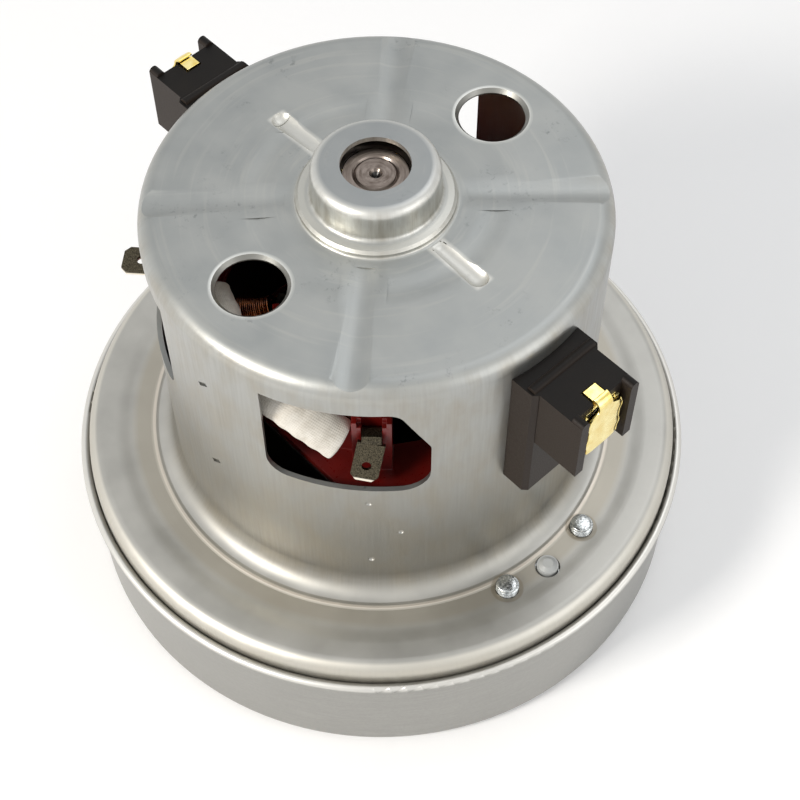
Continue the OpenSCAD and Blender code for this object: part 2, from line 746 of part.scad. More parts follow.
// Front terminal: strip in the tower, folded over its slot, tab hanging outward in the window
module terminal_front() {
    t = tab_t;
    x = tower_face - 1.8;
    z = tower_top - 2.9;
    tilt = 66.6;
    lean = -11;
    fold = [[x, z - 9], [x + t, z - 9], [x + t, z - 1.3], [x + 1.3, z - 0.8], [x + 1.9, z - 0.8],
        [x + 2.25, z - 1.1], [x + 2.5, z - 2.1], [x + 2.5 + 0.92 * t, z - 1.7], [x + 3.1, z - 0.7],
        [x + 2.6, z - 0.1], [x + 0.8, z], [x + 0.2, z - 0.4]];
    color(bright_steel) rotate([0, 0, front_tab_angle]) {
        rotate([90, 0, 0]) translate([0, 0, -neck_w / 2]) linear_extrude(neck_w) polygon(fold);
        translate([x + 2.5, 0, z - 1.9]) rotate([0, tilt, 0]) rotate([0, 0, lean])
            tab(front_tab_len, front_tab_w, front_tab_len - 3.3);
    }
}

// Side terminal: flat tab straight out through the second window
module terminal_side() {
    start = tower_back + 1;
    color(bright_steel) rotate([0, 0, side_tab_angle]) translate([start, 0, side_tab_z])
        tab(side_tab_reach - start, tab_w, side_tab_reach - start - 3.7);
}

// Points of a sleeve from angle, radius and height
function route(list) = [for (p = list) [p[1] * cos(p[0]), p[1] * sin(p[0]), p[2]]];

sleeve_end = front_tab_angle - 8.8;
sleeve_wall = (sleeve_d - sleeve_bore) / 2;
// Share of the full flattening at each point of the sleeve
sleeve_flat = [1, 1, 1, 1, 0.95, 0.85, 0.7, 0.5, 0.25, 0];

// Woven sleeve, pressed flat at its cut end beside the front tower, over the coil head to its leads
module lead_sleeve() {
    a = sleeve_end;
    c = can_r;
    h = frame_top;
    r = sleeve_d / 2;
    color(cream_fibre) hollow_strand(route([
        [a, c - 5.4, h + 10.6], [a - 3.2, c - 5.4, h + 12.5], [a - 7, c - 5.4, h + 14.5],
        [a - 10.5, c - 5.4, h + 16.2], [a - 14, c - 5.4, h + 17.6], [a - 19.3, c - 5.6, h + 18.8],
        [a - 25.8, c - 6.1, h + 20], [a - 32.5, c - 7.2, h + 21.2], [a - 39, c - 8.8, h + 22.2],
        [a - 46, c - 10.6, h + 22.6]]),
        [for (f = sleeve_flat) [r + f * (sleeve_end_h / 2 - r), r - f * (r - sleeve_end_t / 2)]],
        sleeve_wall, 16);
}

tube_wall = 0.45;
tube_gap = 0.1;
tube_w = brush_t + 2 * (tube_gap + tube_wall);
tube_h = brush_w + 2 * (tube_gap + tube_wall);
tube_start = commutator_r + 2.5;
tube_end = housing_end - 2.5;
block_z = brush_z - tube_h / 2 - 1.3;
block_top = brush_z + tube_h / 2 + 1.4;
inner_block_z = block_z + 0.3;
inner_block_h = block_top - block_z - 0.7;
pad_z = block_top - pad_h;
pad_end = can_r + pad_t;
lug_w = 8;
lug_h = 4.5;
lug_z = frame_top + 0.8;
end_face = housing_end - 2.3;
hatch_w = 3.6;
hatch_start = end_face - 3.2;

// Brush housing on the +X side: pad on the can, block with two cheeks, and an inner sleeve
module brush_housing(turn) {
    c = 0.9;
    cheek_t = 2;
    inner_w = housing_w - 1.6;
    color(black_plastic) rotate([0, 0, turn]) difference() {
        union() {
            difference() {
                union() {
                    translate([can_r - 2, 0, pad_z]) linear_extrude(pad_h) polygon([
                        [0, -pad_w / 2], [pad_t + 2 - c, -pad_w / 2], [pad_t + 2, c - pad_w / 2],
                        [pad_t + 2, pad_w / 2 - c], [pad_t + 2 - c, pad_w / 2], [0, pad_w / 2]]);
                    translate([pad_end - 1.6, pad_w / 2 - 0.6, block_top - 0.2]) rotate([90, 0, 0])
                        cylinder(h = pad_w - 1.2, r = 1, $fn = 24);
                    translate([pad_end - 1, -housing_w / 2, block_z])
                        cube([housing_end - pad_end + 1, housing_w, block_top - block_z]);
                    for (s = [-1, 1])
                        translate([end_face - 0.2, s * (housing_w - cheek_t) / 2, block_top - 0.3])
                            rotate([0, 90, 0])
                                cylinder(h = housing_end - end_face + 0.2, r = cheek_t / 2, $fn = 24);
                }
                translate([0, 0, pad_z - 1]) cylinder(h = pad_h + 4, r = can_r + fit);
            }
            translate([tube_start + 8, -inner_w / 2, inner_block_z])
                cube([can_r + 1 - tube_start - 8, inner_w, inner_block_h]);
            translate([can_r - 3, -lug_w / 2, lug_z]) cube([4, lug_w, lug_h]);
        }
        translate([end_face, cheek_t - housing_w / 2, block_z - 1])
            cube([5, housing_w - 2 * cheek_t, block_top - block_z + 3]);
        translate([tube_start, -tube_w / 2 - fit, brush_z - tube_h / 2 - fit])
            cube([60, tube_w + 2 * fit, tube_h + 2 * fit]);
        translate([hatch_start, -hatch_w / 2, brush_z]) cube([6, hatch_w, 20]);
    }
}

module brush_housing_a() { brush_housing(0); }
module brush_housing_b() { brush_housing(180); }

// Brass guide tube with a flange at its outer end and a lug in the hatch
module brush_tube(turn) {
    flange_t = 0.4;
    flange_h = 10;
    flange_over = 0.9;
    bore_w = brush_t + 2 * tube_gap;
    bore_h = brush_w + 2 * tube_gap;
    color(brass) rotate([0, 0, turn]) difference() {
        union() {
            translate([tube_start, -tube_w / 2, brush_z - tube_h / 2])
                cube([tube_end + flange_t - tube_start, tube_w, tube_h]);
            translate([end_face + fit, -tube_w / 2 - flange_over, brush_z - flange_h / 2])
                cube([flange_t, tube_w + 2 * flange_over, flange_h]);
            translate([hatch_start + 0.3, -1.5, brush_z + tube_h / 2 - eps]) cube([2.4, 3, 1.9]);
        }
        translate([tube_start - 1, -bore_w / 2, brush_z - bore_h / 2]) cube([60, bore_w, bore_h]);
    }
}

module brush_tube_a() { brush_tube(0); }
module brush_tube_b() { brush_tube(180); }

// Brass end clip that closes the tube and takes the spring
module brush_clip(turn) {
    x = end_face + 0.5;
    t = 0.7;
    w = 8.3;
    h = 12.4;
    color(brass) rotate([0, 0, turn]) {
        translate([x, 0, brush_z - h / 2]) rotate([90, 0, 90]) linear_extrude(t) polygon([
            [-w / 2 + 1, 0], [w / 2 - 1, 0], [w / 2, 1.4], [w / 2, h - 1.4], [w / 2 - 1, h], [1 - w / 2, h],
            [-w / 2, h - 1.4], [-w / 2, 1.4]]);
        translate([end_face + fit, -2.4, brush_z + h / 2 - 0.1]) cube([x + t - end_face - fit, 4.8, t]);
    }
}

module brush_clip_a() { brush_clip(0); }
module brush_clip_b() { brush_clip(180); }

brush_start = commutator_r + 0.05;
spring_start = brush_start + brush_len + 0.1;
spring_end = end_face + 0.4;
spring_curls = 9;

// Carbon brush, its inner end ground to the commutator
module carbon_brush(turn) {
    c = 0.6;
    color(graphite) rotate([0, 0, turn]) difference() {
        translate([brush_start - 2, 0, brush_z - brush_w / 2]) linear_extrude(brush_w) polygon([
            [0, -brush_t / 2], [brush_len + 2 - c, -brush_t / 2], [brush_len + 2, c - brush_t / 2],
            [brush_len + 2, brush_t / 2 - c], [brush_len + 2 - c, brush_t / 2], [0, brush_t / 2]]);
        translate([0, 0, brush_z - brush_w]) cylinder(h = 2 * brush_w, r = brush_start);
    }
}

module carbon_brush_a() { carbon_brush(0); }
module carbon_brush_b() { carbon_brush(180); }

spring_wire_r = 0.35;
spring_path = [for (i = [0:8 * spring_curls]) let (t = i / 8 / spring_curls)
    [spring_start + spring_wire_r + t * (spring_end - spring_start - 2 * spring_wire_r),
        2.5 * cos(45 * i), brush_z + 2.5 * sin(45 * i)]];
spring_sides = [for (i = [0:8 * spring_curls]) [0, cos(45 * i), sin(45 * i)]];

// Compression spring between brush and clip
module brush_spring(turn) {
    color(bright_steel) rotate([0, 0, turn]) strand(spring_path, spring_sides, spring_wire_r, 6);
}

module brush_spring_a() { brush_spring(0); }
module brush_spring_b() { brush_spring(180); }

inner_ring_r = (bearing_bore + bearing_od) / 4 - 1.45;
outer_ring_r = (bearing_bore + bearing_od) / 4 + 1.5;
ball_track_r = (bearing_bore + bearing_od) / 4;
groove_r = ball_d / 2 + 0.1;
shield_t = 0.3;
shield_in = 0.1;

// Outer ring of a bearing with its ball groove and seats for the shields
module outer_ring(z) {
    color(bright_steel) translate([0, 0, z]) rotate_extrude() difference() {
        polygon([[outer_ring_r, 0], [cup_r - 0.4, 0], [cup_r, 0.4], [cup_r, bearing_w - 0.4],
            [cup_r - 0.4, bearing_w], [outer_ring_r, bearing_w]]);
        translate([ball_track_r, bearing_w / 2]) circle(groove_r, $fn = 32);
        for (y = [-1, bearing_w - 0.5]) translate([0, y]) square([outer_ring_r + 0.5, 1.5]);
    }
}

// Inner ring of a bearing, pressed on the shaft
module inner_ring(z) {
    color(bright_steel) translate([0, 0, z]) rotate_extrude() difference() {
        polygon([[shaft_r + fit, 0.3], [shaft_r + 0.3 + fit, 0], [inner_ring_r, 0],
            [inner_ring_r, bearing_w],
            [shaft_r + 0.3 + fit, bearing_w], [shaft_r + fit, bearing_w - 0.3]]);
        translate([ball_track_r, bearing_w / 2]) circle(groove_r, $fn = 32);
    }
}

// The two sheet shields of a bearing
module shields(z) {
    color(zinc) for (y = [shield_in, bearing_w - shield_in - shield_t]) translate([0, 0, z + y])
        difference() {
            cylinder(h = shield_t, r = outer_ring_r + 0.45);
            translate([0, 0, -1]) cylinder(h = 3, r = inner_ring_r + 0.25);
        }
}

// Balls of a bearing in their cage ring
module balls(z) {
    color(brass) translate([0, 0, z + bearing_w / 2]) {
        for (i = [0:ball_count - 1]) rotate([0, 0, i * 360 / ball_count]) translate([ball_track_r, 0, 0])
            sphere(r = ball_d / 2, $fn = 32);
        rotate_extrude() translate([ball_track_r - 0.4, -1]) square([0.8, 2]);
    }
}

module upper_bearing_outer_ring() { outer_ring(upper_bearing_z); }
module lower_bearing_outer_ring() { outer_ring(lower_bearing_z); }
module upper_bearing_inner_ring() { inner_ring(upper_bearing_z); }
module lower_bearing_inner_ring() { inner_ring(lower_bearing_z); }
module upper_bearing_shields() { shields(upper_bearing_z); }
module lower_bearing_shields() { shields(lower_bearing_z); }
module upper_bearing_balls() { balls(upper_bearing_z); }
module lower_bearing_balls() { balls(lower_bearing_z); }

// Wave washer between the upper bearing and the boss
module bearing_wave_washer() {
    n = 48;
    r0 = boss_hole_r + 1.2;
    r1 = cup_r - 1.3;
    t = 0.4;
    mid = upper_bearing_z + bearing_w + wave_gap / 2;
    sway = wave_gap / 2 - t / 2 - 0.03;
    points = [for (i = [0:n - 1]) let (a = 360 * i / n, z = mid + sway * cos(3 * a))
        each [[r0 * cos(a), r0 * sin(a), z - t / 2], [r1 * cos(a), r1 * sin(a), z - t / 2],
            [r1 * cos(a), r1 * sin(a), z + t / 2], [r0 * cos(a), r0 * sin(a), z + t / 2]]];
    faces = [for (i = [0:n - 1], k = [0:3])
        let (next = 4 * ((i + 1) % n), k2 = (k + 1) % 4, a = 4 * i + k, b = 4 * i + k2)
        each [[a, b, next + k], [b, next + k2, next + k]]];
    color(bright_steel) polyhedron(points, faces);
}

// Shaft: thin ends for bearings and impeller, thicker between, with a lathe centre on top
module shaft() {
    low = casing_sheet + 4;
    mid_low = lower_bearing_z + bearing_w + fit;
    mid_top = upper_bearing_z - fit;
    top = upper_bearing_z + bearing_w;
    color(bright_steel) difference() {
        rotate_extrude() polygon([[0, low], [shaft_r - 0.6, low], [shaft_r, low + 0.6], [shaft_r, mid_low],
            [shaft_mid_r - 0.3, mid_low], [shaft_mid_r, mid_low + 0.3], [shaft_mid_r, mid_top - 0.3],
            [shaft_mid_r - 0.3, mid_top], [shaft_r, mid_top], [shaft_r, top - 0.4],
            [shaft_r - 0.4, top], [0, top]]);
        translate([0, 0, top - 1.2]) cylinder(h = 1.3, r1 = 0.2, r2 = 1.3, $fn = 32);
    }
}

// Armature laminations with a round-bottomed slot between each two teeth
module armature_core() {
    slot_w = 1.8;
    pocket_r = armature_r * 0.14;
    color(iron) translate([0, 0, stack_z]) linear_extrude(stack_h) difference() {
        circle(armature_r);
        circle(shaft_mid_r + fit);
        for (i = [0:armature_slots - 1]) rotate(i * 360 / armature_slots) {
            translate([armature_r * 0.76, 0]) circle(pocket_r, $fn = 32);
            translate([armature_r * 0.76, -slot_w / 2]) square([armature_r, slot_w]);
        }
    }
}

// Armature winding: rounded heads above and below the core, joined through the slots
module armature_winding() {
    in_r = shaft_mid_r + 1.2;
    out_r = armature_r - 1.2;
    low_h = 6.8;
    b = 3.2;
    color(copper) {
        translate([0, 0, stack_top + 0.05]) rotate_extrude() polygon(concat(
            [[in_r, 0], [out_r, 0]],
            arc(out_r - b, head_h - 2 * b, b, 0, 70, 4),
            arc(in_r + b + 1, head_h - b, b, 80, 180, 4)));
        translate([0, 0, stack_z - 0.05]) rotate_extrude() polygon(concat(
            [[in_r, 0]],
            arc(in_r + b, b - low_h, b, 180, 270, 4),
            arc(out_r - b, b - low_h, b, 270, 360, 4),
            [[out_r, 0]]));
        for (i = [0:armature_slots - 1]) rotate([0, 0, i * 360 / armature_slots])
            translate([armature_r * 0.76, 0, stack_z - 0.5])
                cylinder(h = stack_h + 1, r = armature_r * 0.14 - 0.15, $fn = 24);
    }
}

bar_in_r = commutator_r - 2.6;

// Moulded hub that carries the copper bars
module commutator_hub() {
    color(black_plastic) translate([0, 0, commutator_z]) difference() {
        union() {
            translate([0, 0, -0.8]) cylinder(h = commutator_h + 1.6, r = bar_in_r - fit);
            translate([0, 0, -0.8]) cylinder(h = 0.7, r = commutator_r - 0.6);
            translate([0, 0, commutator_h + 0.1]) cylinder(h = 0.7, r = commutator_r - 0.6);
        }
        translate([0, 0, -2]) cylinder(h = commutator_h + 4, r = shaft_mid_r + fit);
    }
}

// Copper bars with a hook foot each
module commutator_bars() {
    cut = 0.6;
    color(copper) translate([0, 0, commutator_z]) difference() {
        union() {
            cylinder(h = commutator_h, r = commutator_r);
            cylinder(h = 1.8, r = commutator_r + 1.2);
        }
        translate([0, 0, -1]) cylinder(h = commutator_h + 2, r = bar_in_r);
        for (i = [0:bar_count - 1]) rotate([0, 0, (i + 0.5) * 360 / bar_count])
            translate([bar_in_r - 1, -cut / 2, -1]) cube([6, cut, commutator_h + 2]);
    }
}

shroud_rim_z = back_plate_z - outlet_w - impeller_sheet;
shroud_eye_z = casing_sheet + 3.6;
blade_in_r = eye_r + 2.2;

// Back plate of the impeller
module impeller_back_plate() {
    color(alloy) translate([0, 0, back_plate_z]) difference() {
        cylinder(h = impeller_sheet, r = impeller_r);
        translate([0, 0, -1]) cylinder(h = 3, r = shaft_r + fit);
    }
}

// Front plate of the impeller: dished sheet with an eye lip round the inlet
module impeller_front_plate() {
    s = impeller_sheet;
    color(alloy) rotate_extrude() polygon([
        [eye_r, casing_sheet + 1.4], [eye_r + s, casing_sheet + 1.4], [eye_r + s, shroud_eye_z - 0.6],
        [eye_r + s + 0.8, shroud_eye_z], [impeller_r, shroud_rim_z], [impeller_r, shroud_rim_z + s],
        [eye_r + s + 0.6, shroud_eye_z + s], [eye_r, shroud_eye_z]]);
}

// Backward-curved blades between the two plates
module impeller_blades() {
    color(alloy) intersection() {
        linear_extrude(back_plate_z - 0.01) for (i = [0:blade_count - 1]) rotate(i * 360 / blade_count)
            polygon(vane(blade_in_r, impeller_r - 0.5, -blade_sweep, 1.5, 12));
        rotate_extrude() polygon([
            [eye_r + impeller_sheet + 0.6, shroud_eye_z + impeller_sheet + fit],
            [impeller_r, shroud_rim_z + impeller_sheet + fit], [impeller_r, back_plate_z + 1],
            [eye_r + impeller_sheet + 0.6, back_plate_z + 1]]);
    }
}

// Clamping washers on both sides of the back plate
module washer(z, h, r) {
    color(bright_steel) translate([0, 0, z]) difference() {
        cylinder(h = h, r = r);
        translate([0, 0, -1]) cylinder(h = h + 2, r = shaft_r + fit);
    }
}

module impeller_inner_washer() { washer(back_plate_z + impeller_sheet, 2, 12); }
module impeller_outer_washer() { washer(back_plate_z - 2, 2, 12); }

// Sleeve between the inner washer and the lower bearing
module impeller_spacer() {
    z = back_plate_z + impeller_sheet + 2;
    washer(z, lower_bearing_z - z, 6);
}

// Hexagon nut under the impeller
module impeller_nut() {
    across = 13;
    color(bright_steel) translate([0, 0, back_plate_z - 8.4]) difference() {
        cylinder(h = 6.4, r = across / 2 / cos(30), $fn = 6);
        translate([0, 0, -1]) cylinder(h = 9, r = shaft_r + fit);
    }
}

fan_casing();
motor_can();
diffuser();
bearing_bridge();
bridge_screws();
stator_core();
field_coil_front();
field_coil_rear();
upper_coil_frame();
lower_coil_frame();
terminal_front();
terminal_side();
lead_sleeve();
brush_housing_a();
brush_housing_b();
brush_tube_a();
brush_tube_b();
brush_clip_a();
brush_clip_b();
brush_spring_a();
brush_spring_b();
carbon_brush_a();
carbon_brush_b();
upper_bearing_outer_ring();
lower_bearing_outer_ring();
upper_bearing_inner_ring();
lower_bearing_inner_ring();
upper_bearing_shields();
lower_bearing_shields();
upper_bearing_balls();
lower_bearing_balls();
bearing_wave_washer();
shaft();
armature_core();
armature_winding();
commutator_hub();
commutator_bars();
impeller_back_plate();
impeller_blades();
impeller_front_plate();
impeller_inner_washer();
impeller_outer_washer();
impeller_spacer();
impeller_nut();
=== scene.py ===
# %% [markdown]
# # A vacuum cleaner motor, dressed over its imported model
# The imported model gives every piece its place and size. This lesson adds what a solid
# model leaves out: plated and brushed steel, woven sleeve, fine copper wire and brass.
# Everything is in metres and in the model's own frame, so nothing has to be fitted.

import math

import bmesh
import bpy
import numpy as np
from mathutils import Matrix, Vector


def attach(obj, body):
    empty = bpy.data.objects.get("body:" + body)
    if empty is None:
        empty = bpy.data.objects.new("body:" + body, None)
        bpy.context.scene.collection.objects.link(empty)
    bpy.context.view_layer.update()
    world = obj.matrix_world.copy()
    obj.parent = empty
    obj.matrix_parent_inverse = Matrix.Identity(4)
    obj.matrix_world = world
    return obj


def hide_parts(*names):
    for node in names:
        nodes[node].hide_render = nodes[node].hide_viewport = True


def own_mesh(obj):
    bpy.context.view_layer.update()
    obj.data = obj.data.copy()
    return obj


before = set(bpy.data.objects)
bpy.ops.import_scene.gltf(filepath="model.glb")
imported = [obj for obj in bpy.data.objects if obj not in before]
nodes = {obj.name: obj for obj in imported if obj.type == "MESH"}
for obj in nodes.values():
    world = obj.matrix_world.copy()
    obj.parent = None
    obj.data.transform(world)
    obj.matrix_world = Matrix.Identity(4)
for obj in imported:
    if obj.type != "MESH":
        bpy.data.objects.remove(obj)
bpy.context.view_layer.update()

# %% [markdown]
# ## Sizes that the finishes and new pieces share
# A pattern has to meet the imported piece that it lies on, such as the painted highlight
# round a hole. So the imported model's own sizes are named once here, in millimetres.

# %% Shared sizes
MM = 0.001
# The can: its wall's radius, the height and thickness of its top plate, and the boss's end
CAN_R, PLATE_TOP, SHEET, BOSS_TOP = 44, 99, 1, 107.7
# Distances from the shaft of the round holes, the flange's screws and its pegs
HOLE_AT, SCREW_AT, PEG_AT = 30, 51.6, 52.4
# On each side of the flange two screws stand about a peg; the angles are in degrees
SIDES = (0, 180)
SCREW_TURN, SCREW_SPREAD, PEG_TURN = -1.6, 11.8, -2.7
# A height just inside the flange's top face
FLANGE_SPOT_Z = 31.7
# Heights of the coil frame's top, the stator's middle and the brushes
FRAME_TOP, STACK_MIDDLE, BRUSH_Z = 65.5, 53, 86.1
# Where a brush spring begins and ends along X
SPRING_START, SPRING_END = 34.15, 56.9
print("the can is", 2 * CAN_R, "mm wide and its plate", PLATE_TOP, "mm up")

# %% [markdown]
# ## The camera
# The photograph looks down at the motor from 55.6 degrees, 47 degrees round from the
# brush axis. A camera could be aimed by hand, but its three axes are written out here,
# because they were solved from the circles of the rim, the top plate and the boss.

# %% Camera
TURN = math.radians(47)
ROLL = math.radians(-0.332)
# Sine and cosine of the angle by which the camera looks down
DOWN_SINE, DOWN_COSINE = 0.8255, 0.5644
FOCAL_MM = 73.03


def about_shaft(v):
    """Turn a vector about the shaft by TURN: x' = x cos - y sin, y' = x sin + y cos."""
    c, s = math.cos(TURN), math.sin(TURN)
    return Vector((v[0] * c - v[1] * s, v[0] * s + v[1] * c, v[2]))


level, rise = Vector((1, 0, 0)), Vector((0, DOWN_SINE, DOWN_COSINE))
right = about_shaft(math.cos(ROLL) * level + math.sin(ROLL) * rise)
up = about_shaft(-math.sin(ROLL) * level + math.cos(ROLL) * rise)
back = about_shaft((0, -DOWN_COSINE, DOWN_SINE))
place = about_shaft((4.108 * MM, -198.128 * MM, 322.793 * MM))

camera = bpy.data.objects.new("photo_camera", bpy.data.cameras.new("photo_camera"))
bpy.context.scene.collection.objects.link(camera)
camera.matrix_world = Matrix((
    (right.x, up.x, back.x, place.x),
    (right.y, up.y, back.y, place.y),
    (right.z, up.z, back.z, place.z),
    (0, 0, 0, 1)))
camera.data.sensor_width = 36
camera.data.lens = FOCAL_MM
camera.data.clip_start = 0.01
camera.data.clip_end = 20
bpy.context.scene.camera = camera
bpy.context.scene.view_settings.view_transform = "Standard"
print("camera at", [round(v, 3) for v in place])

# %% [markdown]
# ## Colours and nodes
# A colour is picked as it looks on a screen, in sRGB. The renderer works in linear
# light, so one function turns the first into the second. Another adds a shader node with
# its settings and links, which keeps every material short to read.

# %% Colours and nodes
def tint(code):
    """sRGB hex to linear RGBA: c/12.92 below 0.04045, else ((c + 0.055)/1.055)^2.4."""
    parts = [int(code[i:i + 2], 16) / 255 for i in (1, 3, 5)]
    return (*[c / 12.92 if c <= 0.04045 else ((c + 0.055) / 1.055) ** 2.4 for c in parts], 1)


def add(tree, kind, settings=None, links=None):
    """Add a node; a key that names a socket sets it, and any other sets a property."""
    node = tree.nodes.new(kind)
    for key, value in (settings or {}).items():
        if isinstance(key, int) or key in node.inputs:
            node.inputs[key].default_value = value
        else:
            setattr(node, key, value)
    for key, source in (links or {}).items():
        tree.links.new(source, node.inputs[key])
    return node


print("white is", tint("#FFFFFF"), "and mid grey", [round(c, 3) for c in tint("#808080")])

# %% [markdown]
# ## How a finish is built up
# A real finish is laid down in layers: a base tone, then stains, worn spots and grease,
# each in its own place. The material does the same. A ramp says where a layer starts to
# show and where it is full. Ramps multiply to narrow a place down, so a bright ring on a
# flat face is a band of radius times a ramp of the face's slope.

# %% Layers of a finish
def start_material(name, **sockets):
    """Start a material and return it with its tree, shader and texture coordinates."""
    material = bpy.data.materials.new(name)
    material.use_nodes = True
    tree = material.node_tree
    shader = tree.nodes["Principled BSDF"]
    for key, value in sockets.items():
        shader.inputs[key.replace("_", " ")].default_value = value
    return material, tree, shader, add(tree, "ShaderNodeTexCoord")


def where(tree, amount, *ramps):
    """amount times every ramp. A ramp is a value, the mark where it is still 0 and the mark
    where it is 1; between them it is straight, and outside them it is held."""
    shown = add(tree, "ShaderNodeValue").outputs[0]
    shown.default_value = amount
    for value, start, full in ramps:
        ramp = add(tree, "ShaderNodeMapRange", {"From Min": start, "From Max": full},
            {"Value": value})
        shown = add(tree, "ShaderNodeMath", {"operation": "MULTIPLY"},
            {0: shown, 1: ramp.outputs[0]}).outputs[0]
    return shown


def stack(tree, *parts):
    """The sum of some parts, each an amount and its ramps, as where() takes them."""
    total = where(tree, *parts[0])
    for part in parts[1:]:
        total = add(tree, "ShaderNodeMath", {"operation": "ADD"},
            {0: total, 1: where(tree, *part)}).outputs[0]
    return total


def lay(tree, tone, colour, amount, *ramps):
    """Lay a colour over a tone as far as where() shows it; each is a hex code or a socket."""
    mix = add(tree, "ShaderNodeMix", {"data_type": "RGBA"}, {0: where(tree, amount, *ramps)})
    for index, source in ((6, tone), (7, colour)):
        if isinstance(source, str):
            mix.inputs[index].default_value = tint(source)
        else:
            tree.links.new(source, mix.inputs[index])
    return mix.outputs[2]


def band(value, low_mm, high_mm, soft_mm):
    """Two ramps that keep a value between two marks, fading over soft_mm outside them."""
    return ((value, (low_mm - soft_mm) * MM, low_mm * MM),
        (value, (high_mm + soft_mm) * MM, high_mm * MM))


def finish_shader(tree, shader, tone, rough, relief, depth_mm, strength):
    """Wire in a tone and a roughness, and press a relief, depth_mm deep, into the normal."""
    pressed = add(tree, "ShaderNodeBump", {"Strength": strength, "Distance": depth_mm * MM},
        {"Height": relief})
    tree.links.new(tone, shader.inputs["Base Color"])
    tree.links.new(rough, shader.inputs["Roughness"])
    tree.links.new(pressed.outputs[0], shader.inputs["Normal"])


print("ramps of a band from 2 to 3 mm:", band("value", 2, 3, 0.5))

# %% [markdown]
# ## The lamps and the white background
# The photograph is a cut-out on white. A white world seen by camera, mirror and glass
# rays gives the same, while other rays get a dimmer light. A strength of 1 is white.
# Soft lamps add the bright bands of the plated steel, and none is stronger than needed.

# %% Studio
def seen_directly(tree):
    """1 for rays from the camera, from a mirror or through glass, and 0 for the others."""
    path = add(tree, "ShaderNodeLightPath")
    seen = path.outputs["Is Camera Ray"]
    for other in ("Is Glossy Ray", "Is Transmission Ray"):
        seen = add(tree, "ShaderNodeMath", {"operation": "MAXIMUM"},
            {0: seen, 1: path.outputs[other]}).outputs[0]
    return seen


world = bpy.data.worlds.new("white_studio")
bpy.context.scene.world = world
world.use_nodes = True
sky = world.node_tree
sky.nodes.clear()
seen_white = add(sky, "ShaderNodeBackground", {"Color": tint("#FFFFFF"), "Strength": 1.0})
soft_fill = add(sky, "ShaderNodeBackground", {"Color": tint("#F8F9FA"), "Strength": 0.5})
sky_mix = add(sky, "ShaderNodeMixShader", None,
    {0: seen_directly(sky), 1: soft_fill.outputs[0], 2: seen_white.outputs[0]})
add(sky, "ShaderNodeOutputWorld", None, {0: sky_mix.outputs[0]})


def lamp(name, at, aim, size, watts, colour):
    """A square area lamp at a point, turned so that it shines at another."""
    light = bpy.data.lights.new(name, "AREA")
    light.size, light.energy, light.color = size, watts, tint(colour)[:3]
    obj = bpy.data.objects.new(name, light)
    bpy.context.scene.collection.objects.link(obj)
    obj.location = at
    obj.rotation_euler = (Vector(aim) - Vector(at)).to_track_quat("-Z", "Y").to_euler()


lamp("key_softbox", about_shaft((-0.46, -0.33, 0.45)), (0, 0, 0.06), 0.17, 3.4, "#FFFAF3")
lamp("right_softbox", about_shaft((0.5, -0.3, 0.35)), (0, 0, 0.05), 0.4, 0.8, "#FFFFFF")
lamp("high_softbox", about_shaft((0.25, 0.25, 0.7)), (0, 0, 0.08), 0.4, 0.9, "#FBFCFF")

# %% [markdown]
# ## Surfaces from grids
# Every new piece is a grid of points, worked out as a whole array. Joining neighbours
# makes the faces. A grid can close on itself round a tube, and a single face closes each
# of a tube's ends. Laying out points by hand would hide the rule that shapes the piece.

# %% Grid to mesh
def grid_faces(rows, columns, close_columns=False, close_rows=False):
    """Quads between neighbours (i, j), (i+1, j), (i+1, j+1), (i, j+1) of a grid."""
    i = np.arange(rows if close_rows else rows - 1)
    j = np.arange(columns if close_columns else columns - 1)
    i, j = (a.ravel() for a in np.meshgrid(i, j, indexing="ij"))
    i2, j2 = (i + 1) % rows, (j + 1) % columns
    return np.stack([i * columns + j, i2 * columns + j, i2 * columns + j2, i * columns + j2], -1)


def surface(name, grid, close_columns=False, close_rows=False, caps=False, uv=None):
    """Make an object from a grid of points, with smooth faces and an optional UV map."""
    rows, columns = grid.shape[:2]
    quads = grid_faces(rows, columns, close_columns, close_rows)
    faces = quads.tolist()
    if caps:
        faces.append(list(range(columns)))
        faces.append(list(range((rows - 1) * columns, rows * columns))[::-1])
    mesh = bpy.data.meshes.new(name)
    mesh.from_pydata(grid.reshape(-1, 3).tolist(), [], faces)
    mesh.polygons.foreach_set("use_smooth", np.ones(len(faces), bool))
    if uv is not None:
        layer = mesh.uv_layers.new(name="UVMap")
        loops = np.zeros(len(mesh.loops), np.int32)
        mesh.loops.foreach_get("vertex_index", loops)
        chosen = uv.reshape(-1, 2)[loops].copy()
        # The last face round the tube ends at u = 1, where the first one starts at 0
        starts = chosen[:len(quads) * 4].reshape(-1, 4, 2)
        wrap = starts[:, 0, 0] > 1 - 1.5 / columns
        starts[wrap, 2:, 0] += 1
        chosen[:len(quads) * 4] = starts.reshape(-1, 2)
        layer.data.foreach_set("uv", chosen.astype(np.float32).ravel())
    mesh.update()
    obj = bpy.data.objects.new(name, mesh)
    bpy.context.scene.collection.objects.link(obj)
    return obj


def floor_sheet(half, count):
    """A level sheet: x and y run from -half to half on a grid, 0.05 mm under z = 0."""
    line = np.linspace(-half, half, count)
    x, y = np.meshgrid(line, line, indexing="ij")
    return np.stack([x, y, np.full_like(x, -0.05 * MM)], -1)


floor = surface("floor", floor_sheet(3.0, 3))
print("floor:", len(floor.data.polygons), "faces")

# %% [markdown]
# ## Tubes and closed pieces
# Wire, sleeve and springs are all a ring carried along a path. The ring's two axes have
# to stay square to the path, or the tube gets thin where it turns.

# %% Tubes
def unit_rows(v):
    """Each row of v divided by its own length."""
    return v / np.linalg.norm(v, axis=-1, keepdims=True)


